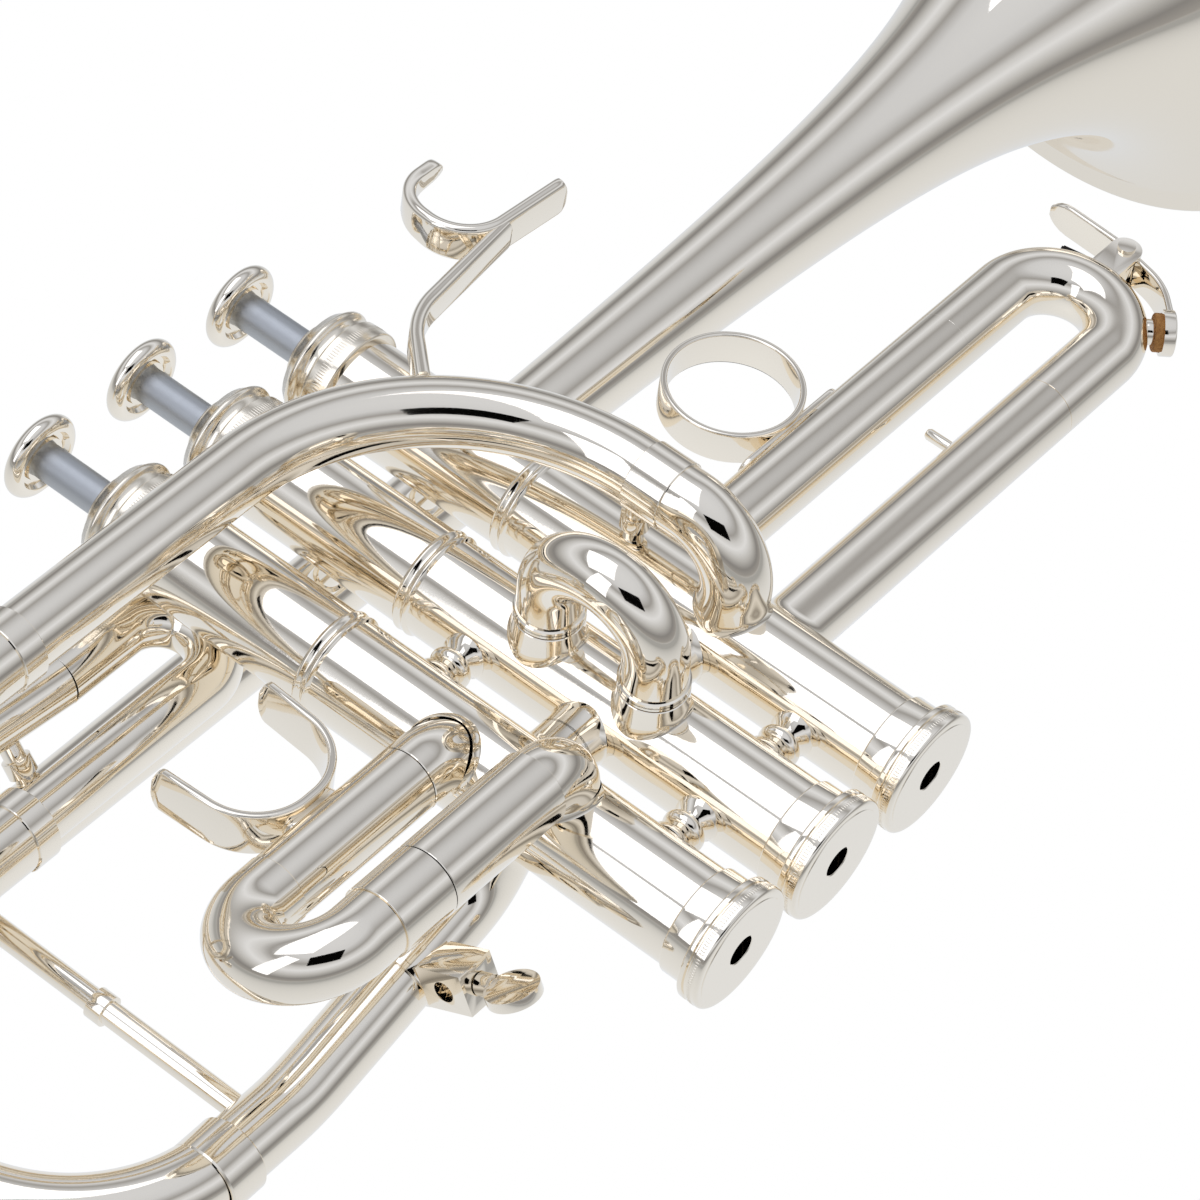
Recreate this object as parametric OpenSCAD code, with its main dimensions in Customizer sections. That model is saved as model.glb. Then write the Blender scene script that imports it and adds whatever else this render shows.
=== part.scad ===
// Cornet in B flat, lying on its left side: +X towards the bell, +Y along the valves towards the
// buttons, +Z up, which is the player's right. Millimetres. The places below are given from the centre
// of the middle valve's bottom cap, and row() moves the whole instrument so that it stands on z = 0.

/* [Valves] */
// Distance between neighbouring valve axes
valve_pitch = 26; // [25.5:0.5:30]
// Outer radius of a valve casing
casing_r = 9.4; // [8.5:0.1:10]
// Wall of a valve casing
casing_wall = 1; // [0.7:0.1:1.4]
// Height of the top caps' crowns above the bottom caps' faces
block_h = 138.7; // [132:0.1:146]
// Radius of a bottom cap
bottom_cap_r = 11.8; // [11:0.1:12.4]
// Radius of a top cap
top_cap_r = 10.7; // [10.4:0.1:12]
// Radius of a valve stem
stem_r = 3.35; // [2.5:0.05:4]
// Radius of a finger button
button_r = 8.2; // [7:0.1:9.5]
// How far a valve is pressed
valve_travel = 14; // [12:0.1:15]

/* [Tubes] */
// Outer radius of the sliding inner tubes
inner_r = 5.6; // [5:0.05:6]
// Wall of the sliding inner tubes
inner_wall = 0.4; // [0.3:0.05:0.6]
// Wall of the outer sleeves and bows
sleeve_wall = 0.55; // [0.4:0.05:0.9]
// Radial clearance between an inner tube and its sleeve, and between a piston and its casing
running_gap = 0.05; // [0.02:0.01:0.1]
// Outer radius of the entry tube that curves over the valves
entry_r = 6.2; // [6.2:0.1:6.8]
// Radius of the entry tube's curve, to its centre line
entry_curve_r = 48.5; // [40:0.5:52]
// Outer radius of the leadpipe and its bow
leadpipe_r = 5.25; // [4.8:0.05:5.5]

/* [Slides] */
// How far the first slide pulls out
first_travel = 16; // [8:1:18]
// How far the second slide pulls out
second_travel = 5; // [3:0.5:5]
// How far the third slide pulls out
third_travel = 30; // [10:1:40]
// How far the tuning slide pulls out
tuning_travel = 18; // [8:1:18]
// Length of the third slide from its valve to the centre of its bow
third_reach = 102.5; // [90:0.5:120]
// Outer radius of the third slide's finger ring
ring_r = 13.1; // [12:0.1:15]

/* [Bell] */
// Diameter of the bell's mouth
bell_d = 119; // [110:1:130]
// Length of the bell from the crook to the mouth
bell_l = 350; // [320:1:370]
// How quickly the bell flares: smaller is a later, steeper flare
flare = 50; // [42:1:60]
// Wall of the bell
bell_wall = 0.8; // [0.6:0.1:1.2]
// Outer radius of the crook behind the valves
crook_r = 6.7; // [6.4:0.1:7.2]

/* [Mouthpiece] */
// Radius of the mouthpiece's rim
rim_r = 13; // [12.5:0.1:14]
// Length of mouthpiece outside the receiver
mouthpiece_l = 46; // [40:1:50]

/* [Hidden] */
$fn = 64;

silver = [0.87, 0.86, 0.83];
steel = [0.45, 0.46, 0.48];
felt_white = [0.9, 0.88, 0.82];
cork_brown = [0.62, 0.4, 0.2];

function unit(v) = v / norm(v);

// Valve block
valve_x = [-valve_pitch, 0, valve_pitch];
bore_r = casing_r - casing_wall;       // inside of a casing
piston_r = bore_r - running_gap;
cap_floor = 1.5;                       // thickness of a bottom cap
cap_h = 4.3;                           // height of a bottom cap
ring_over = 0.5;                       // how far the casing's end ring stands proud
vent_r = 2.8;
top_cap_y = block_h - 11.7;            // lower edge of a top cap
casing_top = block_h - 3.7;            // upper end of a casing, inside its top cap
piston_y0 = 27;
piston_y1 = 98;
collar_y = casing_top - 3.6;           // underside of the stem's collar
button_y = block_h + valve_travel + 0.3; // underside of a button
port_r = inner_r - inner_wall;         // inside of every air way
link_y = 48;                           // height of the links between valves

// Height, x and z of the tubes
entry_y = 114.6;
entry_z = 24;
elbow_r = 12;
entry_port_y = 44;
ferrule_y = 60;
lead_y = 127.75;
return_y = 109.25;
lead_z = -17;
lead_bow_x = valve_x[0] - 8;            // centre of the leadpipe's bow
lead_end = [valve_x[0] - 86, lead_y + 4.5, lead_z];
lead_start = [lead_bow_x - 16, lead_y, lead_z];
lead_dir = unit(lead_end - lead_start);
sleeve_x0 = valve_x[0] - 54;           // fixed ends of the tuning sleeves
sleeve_x1 = sleeve_x0 - 24;            // open ends of the tuning sleeves
sleeve_r = inner_r + running_gap + sleeve_wall;

tail_y = 46;
tail_r = 6.3;
bell_y = 116.8;
bell_z = -31;
bell_x0 = valve_x[0] - 69;             // small end of the bell
crook_x = bell_x0 - 2;                 // where the crook's bow starts
bell_mouth_x = bell_x0 + bell_l;
bead_r = 1.2;                          // the wire in the bell's rim
throat_r = 5.7;                        // the radius that the flare adds to
tail_path = [[valve_x[0], tail_y, 0], [-10 + valve_x[0], tail_y, -15.5], [sleeve_x0, tail_y, bell_z],
             [bell_x0, tail_y, bell_z]];
tail_bends = [0, 14, 30, 0];

grip = 8;                              // what a leg keeps in its sleeve when pulled out

// First slide: an upper and a lower leg behind the first valve
first_up = [59, 7];                    // y and z of the upper leg
first_low = [39, 16];                  // y and z of the lower leg
first_bow_x = valve_x[0] - 52.6;
first_joint_x = valve_x[0] - 15.6;     // end of the upper knuckle
first_low_joint_x = valve_x[0] - 10;   // end of the lower knuckle
first_sleeve_end = valve_x[0] - 36;    // open end of the lower sleeve
first_ferrule_end = first_sleeve_end - 12;
first_low_r = 6.8;

// Second slide: two legs that lean back from the middle valve
second_lean = 7;
second_dir = [-sin(second_lean), 0, cos(second_lean)];
second_y = [62.5, 40];
second_bow_r = (second_y[0] - second_y[1]) / 2;
second_stub = 14;                      // length of the fixed stubs from the valve's axis
second_straight = second_stub + second_travel + 2.5; // where the bow starts
second_r = 5.75;
second_inner_r = second_r - sleeve_wall + 0.05 - running_gap;

// Third slide
third_up_y = 59.7;
third_low_y = 37;
third_bow_r = (third_up_y - third_low_y) / 2;
third_bow_x = valve_x[2] + third_reach;
third_joint_x = valve_x[2] + 11;
third_ferrule_x = third_bow_x - 18.5;
ring_at = [third_joint_x + 34.8, third_up_y + sleeve_r + ring_r - 0.3, 0];
ring_wall = 1.2;
ring_w = 7;

// Tuning slide
tuning_bow_x = sleeve_x1 - 4;
tuning_span = [0, entry_y - return_y, entry_z - lead_z];
tuning_bow_r = norm(tuning_span) / 2;
tuning_mid = [tuning_bow_x, (entry_y + return_y) / 2, (entry_z + lead_z) / 2];

// Mouthpiece: its receiver ends at the mouth of the receiver
receiver_l = 28;
rim_tube_r = 2;
mouth_end = lead_end + lead_dir * (receiver_l - 6 + mouthpiece_l);
mouth_rim = mouth_end - lead_dir * rim_tube_r;

// The instrument is moved so that its box is centred on x and y and its lowest point is z = 0
x_low = mouth_rim.x - (rim_r - rim_tube_r) * sqrt(1 - lead_dir.x * lead_dir.x) - rim_tube_r;
row_shift = [-(bell_mouth_x + x_low) / 2, -(bell_y + bell_d / 2) / 2, bell_d / 2 - bell_z];
module row() translate(row_shift) children();

// ---- Shapes that repeat ----

// Puts its child, drawn along +Z from the origin, at a and pointing to b
module between(a, b) {
    d = b - a;
    translate(a) rotate([0, acos(d.z / norm(d)), atan2(d.y, d.x)]) children();
}

module rod(a, b, r) between(a, b) cylinder(h = norm(b - a), r = r);

// A tube from a to b, open at both ends
module tube(a, b, ro, ri) between(a, b) difference() {
    cylinder(h = norm(b - a), r = ro);
    translate([0, 0, -1]) cylinder(h = norm(b - a) + 2, r = ri);
}

function turn_at(p, i) = acos(max(-1, min(1, unit(p[i] - p[i-1]) * unit(p[i+1] - p[i]))));
function setback(p, bends, i) = (i == 0 || i == len(p) - 1) ? 0 : bends[i] * tan(turn_at(p, i) / 2);
function run_start(p, bends, i) = p[i] + unit(p[i+1] - p[i]) * setback(p, bends, i);
function run_end(p, bends, i) = p[i+1] - unit(p[i+1] - p[i]) * setback(p, bends, i + 1);

// Axes x, y, z and origin c as a placing
module place(x, y, z, c)
    multmatrix([[x.x, y.x, z.x, c.x], [x.y, y.y, z.y, c.y], [x.z, y.z, z.z, c.z], [0, 0, 0, 1]])
        children();

// The bend at point i of a path: its child is the section, drawn with its centre at the origin
module bend(p, bends, i) {
    u = unit(p[i] - p[i-1]);
    n = unit(cross(u, p[i+1] - p[i]));
    c = p[i] - u * setback(p, bends, i) + cross(n, u) * bends[i];
    place(cross(u, n), u, n, c) rotate_extrude(angle = turn_at(p, i)) translate([bends[i], 0]) children();
}

// A tube along straight runs and bends. seam is the hairline left between runs and bends that slant.
module pipe(p, bends, ro, ri, seam = 0) {
    last = len(p) - 2;
    for (i = [0 : last]) {
        u = unit(p[i+1] - p[i]);
        tube(run_start(p, bends, i) + u * (i == 0 ? 0 : seam),
             run_end(p, bends, i) - u * (i == last ? 0 : seam), ro, ri);
    }
    for (i = [1 : 1 : last])
        bend(p, bends, i) difference() { circle(r = ro); circle(r = ri); }
}

// A U-shaped tube: legs along X from a and b to bow_x, joined by a half-round bow on the side given
module u_pipe(a, b, bow_x, side, ro, ri, seam = 0) {
    across = [0, a.y - b.y, a.z - b.z] / 2;
    end_x = bow_x - side * seam;
    for (leg = [a, b]) tube(leg, [end_x, leg.y, leg.z], ro, ri);
    place(unit(across), [side, 0, 0], cross(unit(across), [side, 0, 0]),
          [bow_x, (a.y + b.y) / 2, (a.z + b.z) / 2])
        rotate_extrude(angle = 180) translate([norm(across), 0])
            difference() { circle(r = ro); circle(r = ri); }
}

// Points of a flat path, each with its left-hand normal, with the corners rounded
function left(u) = [-u.y, u.x];
function turned(v, a) = [v.x * cos(a) - v.y * sin(a), v.x * sin(a) + v.y * cos(a)];
function flat(v) = [v.x, v.y];
function corner_points(p, bends, i) = let (
    u = flat(unit(p[i] - p[i-1])), turn = turn_at(p, i),
    side = sign(cross(u, flat(p[i+1] - p[i]))),
    c = flat(p[i]) - u * setback(p, bends, i) + left(u) * side * bends[i])
    [for (k = [0 : 12]) let (r = turned(-left(u) * side, side * turn * k / 12)) [c + r * bends[i], -r * side]];
function path_points(p, bends) = concat(
    [[flat(p[0]), left(flat(unit(p[1] - p[0])))]],
    [for (i = [1 : 1 : len(p) - 2]) each corner_points(p, bends, i)],
    [[flat(p[len(p) - 1]), left(flat(unit(p[len(p) - 1] - p[len(p) - 2])))]]);

// A flat strip along straight runs and bends in a plane of constant z
module strip(p, bends, thick, width) {
    q = path_points(p, bends);
    translate([0, 0, p[0].z - width / 2]) linear_extrude(width) polygon(concat(
        [for (k = [0 : len(q) - 1]) q[k][0] + q[k][1] * thick / 2],
        [for (k = [len(q) - 1 : -1 : 0]) q[k][0] - q[k][1] * thick / 2]));
}

// Places its child, drawn along +Z, on a valve's axis with +Z along the valve
module on_valve(i, y) translate([valve_x[i], y, 0]) rotate([-90, 0, 0]) children();

// What a tube soldered to a valve casing is cut by
module casing_cut(i) on_valve(i, -20) cylinder(h = block_h + 40, r = casing_r);

// The bores that open into a casing: each is a direction and a height
function ports(i) = i == 0 ? [[[1, 0, 0], link_y], [tail_path[1] - tail_path[0], tail_y],
                              [[-8, 0, first_up[1]], first_up[0]], [[0, 0, 1], first_low[0]]]
                  : i == 1 ? [[[1, 0, 0], link_y], [[-1, 0, 0], link_y],
                              [second_dir, second_y[0]], [second_dir, second_y[1]]]
                  : [[[-1, 0, 0], link_y], [[0, 0, 1], entry_port_y],
                     [[1, 0, 0], third_up_y], [[1, 0, 0], third_low_y]];

module port_bores(i, count, r) for (k = [0 : count - 1])
    rod([valve_x[i], ports(i)[k][1], 0], [valve_x[i], ports(i)[k][1], 0] + 14 * unit(ports(i)[k][0]), r);

// ---- Valves ----

// Casing: a tube with a proud ring at its foot and a joint band, and ports bored into it
module valve_casing(i) row() color(silver) difference() {
    on_valve(i, 0) rotate_extrude() polygon([
        [bore_r, cap_floor], [casing_r + ring_over, cap_floor], [casing_r + ring_over, cap_h + 4.9],
        [casing_r, cap_h + 4.9], [casing_r, 86], [casing_r + ring_over, 86.4],
        [casing_r + ring_over, 88.6], [casing_r, 89], [casing_r, casing_top], [bore_r, casing_top]]);
    port_bores(i, 4, port_r);
}

// The casings' struts and the two air links between neighbouring valves
module valve_links() row() color(silver) for (gap = [0, 1]) difference() {
    union() {
        for (y = [22.5, 73]) rod([valve_x[gap], y, 0], [valve_x[gap + 1], y, 0], 3.8);
        tube([valve_x[gap], link_y, 0], [valve_x[gap + 1], link_y, 0], port_r + 0.6, port_r);
    }
    casing_cut(gap);
    casing_cut(gap + 1);
}

// Bottom cap: a cup with a vent hole and a groove round it
module bottom_cap(i) row() color(silver) on_valve(i, 0) rotate_extrude() polygon([
    [vent_r, 0], [bottom_cap_r - 0.5, 0], [bottom_cap_r, 0.5], [bottom_cap_r, 2.7],
    [bottom_cap_r - 0.4, 2.9], [bottom_cap_r - 0.4, 3.1], [bottom_cap_r, 3.3], [bottom_cap_r, cap_h - 0.3],
    [bottom_cap_r - 0.3, cap_h], [casing_r + ring_over, cap_h], [casing_r + ring_over, cap_floor],
    [vent_r, cap_floor]]);

// Top cap: a knurled skirt, a shoulder and a crown round the stem
module top_cap(i) row() color(silver) on_valve(i, 0) rotate_extrude() polygon([
    [casing_r, top_cap_y], [top_cap_r - 0.5, top_cap_y], [top_cap_r, top_cap_y + 0.5],
    [top_cap_r, top_cap_y + 4.5], [top_cap_r - 0.8, top_cap_y + 5], [top_cap_r - 0.8, top_cap_y + 6],
    [top_cap_r, top_cap_y + 6.5], [top_cap_r, top_cap_y + 8.6], [top_cap_r - 1.2, block_h - 2],
    [7, block_h - 0.9], [6, block_h], [stem_r + 0.1, block_h], [stem_r + 0.1, casing_top],
    [casing_r, casing_top]]);

// Piston: ported body with the spring's seat under it
module piston(i) row() color(steel) difference() {
    on_valve(i, piston_y0) cylinder(h = piston_y1 - piston_y0, r = piston_r);
    on_valve(i, piston_y0 - 1) cylinder(h = 4, r = piston_r - 1);
    on_valve(i, piston_y0 + 40) cylinder(h = piston_y1 - piston_y0 - 42, r = piston_r - 1);
    port_bores(i, 2, port_r);
}

// Stem with the collar that stops the piston at the top
module valve_stem(i) row() color(steel) {
    on_valve(i, piston_y1) cylinder(h = button_y - piston_y1 + 1, r = stem_r);
    on_valve(i, collar_y) cylinder(h = 1.6, r = 7);
}

// Felt washer between the collar and the top cap
module valve_felt(i) row() color(felt_white) on_valve(i, collar_y + 1.6) difference() {
    cylinder(h = 1.9, r = 6.4);
    translate([0, 0, -1]) cylinder(h = 4, r = stem_r);
}

// Finger button: a dished top over a rounded edge, hollow underneath round the stem
module finger_button(i) row() color(silver) difference() {
    on_valve(i, button_y) rotate_extrude() {
        polygon([[0, 1], [stem_r + 1, 1], [stem_r + 1, 2], [button_r - 1.6, 0], [button_r - 0.9, 0],
                 [button_r - 0.9, 3.6], [button_r - 2.5, 3.9], [0, 3.2]]);
        translate([button_r - 1.8, 1.8]) circle(r = 1.8, $fn = 32);
    }
    on_valve(i, button_y - 2) cylinder(h = 3, r = stem_r);
}

// Coil spring between the bottom cap and the piston
spring_turns = 7;
spring_steps = 14;
spring_sides = 6;
spring_wire_r = 0.45;
spring_r = 5.8;
module valve_spring(i) {
    rings = spring_turns * spring_steps;
    y0 = cap_floor + spring_wire_r + 0.05;
    y1 = piston_y0 + 3 - spring_wire_r - 0.05;
    points = [for (k = [0 : rings]) for (s = [0 : spring_sides - 1])
        let (a = 360 * k / spring_steps, b = 360 * s / spring_sides,
             r = spring_r + spring_wire_r * cos(b))
        [valve_x[i] + r * cos(a), y0 + (y1 - y0) * k / rings + spring_wire_r * sin(b), r * sin(a)]];
    sides = [for (k = [0 : rings - 1]) for (s = [0 : spring_sides - 1])
        let (t = (s + 1) % spring_sides, a = k * spring_sides, b = a + spring_sides)
        [a + s, a + t, b + t, b + s]];
    ends = [[for (s = [spring_sides - 1 : -1 : 0]) s],
            [for (s = [0 : spring_sides - 1]) rings * spring_sides + s]];
    row() color(steel) polyhedron(points, concat(sides, ends));
}

// ---- Leadpipe side ----

module leadpipe_bow() row() color(silver)
    u_pipe([lead_start.x, lead_y, lead_z], [lead_start.x, return_y, lead_z], lead_bow_x, 1, leadpipe_r,
           leadpipe_r - sleeve_wall);

module leadpipe() row() color(silver)
    tube(lead_start, lead_end, leadpipe_r, leadpipe_r - sleeve_wall);

// Receiver: the ringed sleeve that the mouthpiece is pushed into
module receiver() row() color(silver) between(lead_end - lead_dir * 6, lead_end) rotate_extrude()
    polygon([[leadpipe_r, 0], [leadpipe_r + 0.8, 0.6], [leadpipe_r + 1.1, 12],
             [leadpipe_r + 1.5, receiver_l - 5], [leadpipe_r + 2.2, receiver_l - 4.5],
             [leadpipe_r + 2.2, receiver_l - 0.5], [leadpipe_r + 1.7, receiver_l],
             [shank_r, receiver_l], [shank_r, 6], [leadpipe_r, 6]]);

// Mouthpiece: shank, backbore, throat, cup and rounded rim
shank_r = 4.6;
module mouthpiece() {
    in = 20;                           // how deep the shank sits
    l = mouthpiece_l;
    row() color(silver) between(lead_end + lead_dir * (receiver_l - 6), mouth_end) difference() {
        rotate_extrude() {
            polygon([[0, -in], [shank_r, -in], [shank_r, 0], [shank_r + 0.3, 8], [shank_r + 0.8, 16],
                     [shank_r + 1.6, 21], [shank_r + 2.1, 22.5], [shank_r + 2.1, 24],
                     [shank_r + 2.8, 27], [shank_r + 4.6, 30], [rim_r - 2.6, 34], [rim_r - 1.9, l - 6],
                     [rim_r - 0.9, l - 3.5], [rim_r - 0.3, l - rim_tube_r], [0, l - rim_tube_r]]);
            translate([rim_r - rim_tube_r, l - rim_tube_r]) circle(r = rim_tube_r, $fn = 32);
        }
        translate([0, 0, -in - 1]) cylinder(h = in + 14, r1 = 3.4, r2 = 2);
        translate([0, 0, -in]) cylinder(h = in + l, r = 2);
        translate([0, 0, l - 13]) cylinder(h = 8, r1 = 2, r2 = 6.8);
        translate([0, 0, l - 5.01]) cylinder(h = 8, r1 = 6.8, r2 = 8.6);
    }
}

module return_tube() row() color(silver)
    tube([lead_start.x, return_y, lead_z], [sleeve_x0, return_y, lead_z], leadpipe_r,
         leadpipe_r - sleeve_wall);

// Fixed sleeves of the tuning slide, each with a neck round the tube that it is soldered to
module tuning_sleeve(y, z, neck_r) {
    tube([sleeve_x1, y, z], [sleeve_x0, y, z], sleeve_r + 0.3, inner_r + running_gap);
    tube([sleeve_x0 - 2, y, z], [sleeve_x0, y, z], sleeve_r, neck_r - 0.3);
    tube([sleeve_x0, y, z], [sleeve_x0 + 4, y, z], sleeve_r + 0.5, neck_r);
    tube([sleeve_x1, y, z], [sleeve_x1 + 2, y, z], sleeve_r + 0.7, inner_r + running_gap);
}
module tuning_sleeves() row() color(silver) {
    tuning_sleeve(entry_y, entry_z, entry_r);
    tuning_sleeve(return_y, lead_z, leadpipe_r);
}

// Entry tube: from the tuning slide over the valves and down to the third valve
module entry_tube() row() color(silver)
    pipe([[sleeve_x0, entry_y, entry_z], [valve_x[2], entry_y, entry_z], [valve_x[2], ferrule_y, entry_z]],
         [0, entry_curve_r, 0], entry_r, entry_r - sleeve_wall);

module entry_elbow() row() color(silver) difference() {
    union() {
        pipe([[valve_x[2], ferrule_y, entry_z], [valve_x[2], entry_port_y, entry_z],
              [valve_x[2], entry_port_y, 0]], [0, elbow_r, 0], entry_r, port_r);
        tube([valve_x[2], ferrule_y, entry_z], [valve_x[2], ferrule_y + 6, entry_z], entry_r + 0.35, entry_r);
        tube([valve_x[2], ferrule_y - 1.5, entry_z], [valve_x[2], ferrule_y, entry_z], entry_r + 0.35,
             entry_r - 0.2);
    }
    casing_cut(2);
}

// Soldered braces: entry tube to third casing, bell to valves, leadpipe to bell
module strut(a, b, r) {
    rod(a, b, r);
    between(a, b) translate([0, 0, norm(b - a) / 2 - 1.6]) cylinder(h = 3.2, r1 = r + 0.7, r2 = r + 0.7);
}
module braces() row() color(silver) difference() {
    union() {
        strut([valve_x[2], 66, 5], [valve_x[2], 66, entry_z - 3], 2);
        for (i = [1, 2]) strut([valve_x[i], 104, -4], [valve_x[i], bell_y, bell_z], 2.2);
        strut([sleeve_x0 + 16, lead_y + 1, lead_z], [sleeve_x0 + 16, bell_y, bell_z], 2);
        strut([bell_x0 + 7, bell_y, bell_z], [bell_x0 + 7, tail_y, bell_z], 2.2);
    }
    for (i = [1, 2]) casing_cut(i);
    rod([valve_x[2], 40, entry_z], [valve_x[2], 80, entry_z], entry_r);
    rod(lead_start, lead_end, leadpipe_r);
    rod([bell_x0 - 4, tail_y, bell_z], [bell_x0 + 15, tail_y, bell_z], tail_r);
    bell_solid();
}

// ---- Fittings for the hand ----

// x and y from where the entry tube starts to curve
function from_entry(x, y) = [valve_x[2] - entry_curve_r + x, entry_y + y, entry_z];
hook_path = [from_entry(81, 24.4), from_entry(68.5, 24.2), from_entry(66, 6.2), from_entry(91.5, 4.4)];
hook_stem = [from_entry(35.5, -11.6), from_entry(47.5, 1.9), from_entry(76.5, 5)];
module finger_hook() row() color(silver) difference() {
    union() {
        strip(hook_path, [0, 8.5, 9, 0], 1.8, 8);
        strip(hook_stem, [0, 16, 0], 1.8, 7);
    }
    bend([[sleeve_x0, entry_y, entry_z], [valve_x[2], entry_y, entry_z],
          [valve_x[2], ferrule_y, entry_z]], [0, entry_curve_r, 0], 1) circle(r = entry_r);
}

saddle_x = first_sleeve_end + 3.5;
saddle_y = first_up[0] + sleeve_r + 0.7;
saddle_path = [[saddle_x - 13, saddle_y + 22, first_up[1]], [saddle_x - 12, saddle_y, first_up[1]],
               [saddle_x + 12, saddle_y, first_up[1]], [saddle_x + 13.5, saddle_y + 22, first_up[1]]];
module thumb_saddle() row() color(silver) difference() {
    union() {
        strip(saddle_path, [0, 11.5, 11.5, 0], 1.4, 9);
        translate([saddle_x - 6, saddle_y - 3, first_up[1] - 2.5]) cube([12, 3, 5]);
    }
    rod([saddle_x - 20, first_up[0], first_up[1]], [saddle_x + 20, first_up[0], first_up[1]], sleeve_r);
}

// ---- First slide ----

first_low_at = [first_low_joint_x, first_low[0], first_low[1]];
first_up_at = [first_joint_x, first_up[0], first_up[1]];
module first_knuckles() row() color(silver) difference() {
    union() {
        pipe([[valve_x[0], first_low[0], 0], [valve_x[0], first_low[0], first_low[1]], first_low_at],
             [0, 8, 0], sleeve_r, port_r);
        tube(first_low_at, [first_sleeve_end, first_low[0], first_low[1]], first_low_r,
             inner_r + running_gap);
        tube([first_low_at.x + 1.5, first_low_at.y, first_low_at.z], first_low_at, first_low_r, port_r + 0.2);
        pipe([[valve_x[0], first_up[0], 0], [valve_x[0] - 8, first_up[0], first_up[1]], first_up_at],
             [0, 12, 0], sleeve_r, port_r, 0.01);
        tube(first_up_at, [first_ferrule_end + 2, first_up[0], first_up[1]], inner_r, port_r);
    }
    casing_cut(0);
}

module first_slide() row() color(silver) {
    tube([first_joint_x - 0.2, first_up[0], first_up[1]], [first_ferrule_end, first_up[0], first_up[1]],
         sleeve_r, inner_r + running_gap);
    u_pipe([first_ferrule_end, first_up[0], first_up[1]], [first_ferrule_end, first_low[0], first_low[1]],
           first_bow_x, -1, sleeve_r + 0.2, port_r, 0.01);
    tube([first_sleeve_end - 0.2, first_low[0], first_low[1]],
         [first_ferrule_end, first_low[0], first_low[1]], first_low_r, inner_r);
    tube([first_sleeve_end + first_travel + grip, first_low[0], first_low[1]],
         [first_ferrule_end, first_low[0], first_low[1]], inner_r, port_r);
}

// ---- Second slide ----

module second_stubs() row() color(silver) difference() {
    for (y = second_y) {
        tube([0, y, 0], [0, y, 0] + second_dir * second_stub, second_r + 0.5, second_inner_r - inner_wall);
        tube([0, y, 0] + second_dir * second_stub, [0, y, 0] + second_dir * (second_stub + second_travel + 2),
             second_inner_r, second_inner_r - inner_wall);
    }
    casing_cut(1);
}

module second_slide() row() color(silver) rotate([0, -second_lean, 0]) {
    low = second_stub + 0.2;
    for (y = second_y) {
        tube([0, y, low], [0, y, second_straight], second_r, second_inner_r + running_gap);
        tube([0, y, low], [0, y, low + 2], second_r + 0.5, second_r - 0.2);
    }
    translate([0, (second_y[0] + second_y[1]) / 2, second_straight]) rotate([90, 0, 90])
        rotate_extrude(angle = 180) translate([second_bow_r, 0])
            difference() { circle(r = second_r); circle(r = second_inner_r - inner_wall); }
}

// ---- Third slide ----

// Fixed legs: an inner tube above and an outer sleeve below, with the small stop post
module third_legs() row() color(silver) difference() {
    union() {
        tube([valve_x[2], third_up_y, 0], [third_joint_x, third_up_y, 0], sleeve_r, port_r);
        tube([third_joint_x, third_up_y, 0], [third_ferrule_x - 4, third_up_y, 0], inner_r, port_r);
        tube([valve_x[2], third_low_y, 0], [third_joint_x, third_low_y, 0], sleeve_r, port_r);
        tube([third_joint_x, third_low_y, 0], [third_ferrule_x, third_low_y, 0], sleeve_r,
             inner_r + running_gap);
        difference() {
            rod([third_ferrule_x - 20, third_low_y, 0], [third_ferrule_x - 20, third_low_y + 11.6, 0], 1.1);
            rod([third_ferrule_x - 30, third_low_y, 0], [third_ferrule_x, third_low_y, 0], sleeve_r - 0.1);
        }
    }
    casing_cut(2);
}

module third_slide() row() color(silver) {
    tube([third_joint_x + 0.2, third_up_y, 0], [third_ferrule_x, third_up_y, 0], sleeve_r,
         inner_r + running_gap);
    u_pipe([third_ferrule_x, third_up_y, 0], [third_ferrule_x + 0.2, third_low_y, 0], third_bow_x, 1,
           sleeve_r, port_r);
    tube([third_ferrule_x - third_travel - 5 * grip, third_low_y, 0], [third_ferrule_x + 0.2, third_low_y, 0], inner_r, port_r);
}

module finger_ring() row() color(silver) difference() {
    union() {
        translate([ring_at.x, ring_at.y, -ring_w / 2]) difference() {
            cylinder(h = ring_w, r = ring_r);
            translate([0, 0, -1]) cylinder(h = ring_w + 2, r = ring_r - ring_wall);
        }
        translate([ring_at.x - 14, third_up_y + sleeve_r - 1.2, -3]) cube([28, 2, 6]);
    }
    rod([third_joint_x, third_up_y, 0], [third_ferrule_x, third_up_y, 0], sleeve_r);
}

// ---- Tuning slide ----

tuning_ends = [[sleeve_x1 - 0.2, entry_y, entry_z], [sleeve_x1 - 0.2, return_y, lead_z]];
module tuning_slide() row() color(silver) {
    u_pipe(tuning_ends[0], tuning_ends[1], tuning_bow_x, -1, sleeve_r, port_r, 0.01);
    for (p = tuning_ends) {
        tube(p, [sleeve_x1 + tuning_travel + 3, p.y, p.z], inner_r, port_r);
        tube(p, [p.x - 3, p.y, p.z], sleeve_r + 0.7, sleeve_r - 0.2);
    }
    difference() {
        strut([tuning_bow_x + 2, entry_y, entry_z], [tuning_bow_x + 2, return_y, lead_z], 1.8);
        for (p = tuning_ends) rod([p.x + 3, p.y, p.z], [p.x - 9, p.y, p.z], sleeve_r - 0.1);
    }
}

// ---- Bell side ----

module bell_tail() row() color(silver) difference() {
    pipe(tail_path, tail_bends, tail_r, tail_r - sleeve_wall, 0.01);
    casing_cut(0);
}

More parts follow.
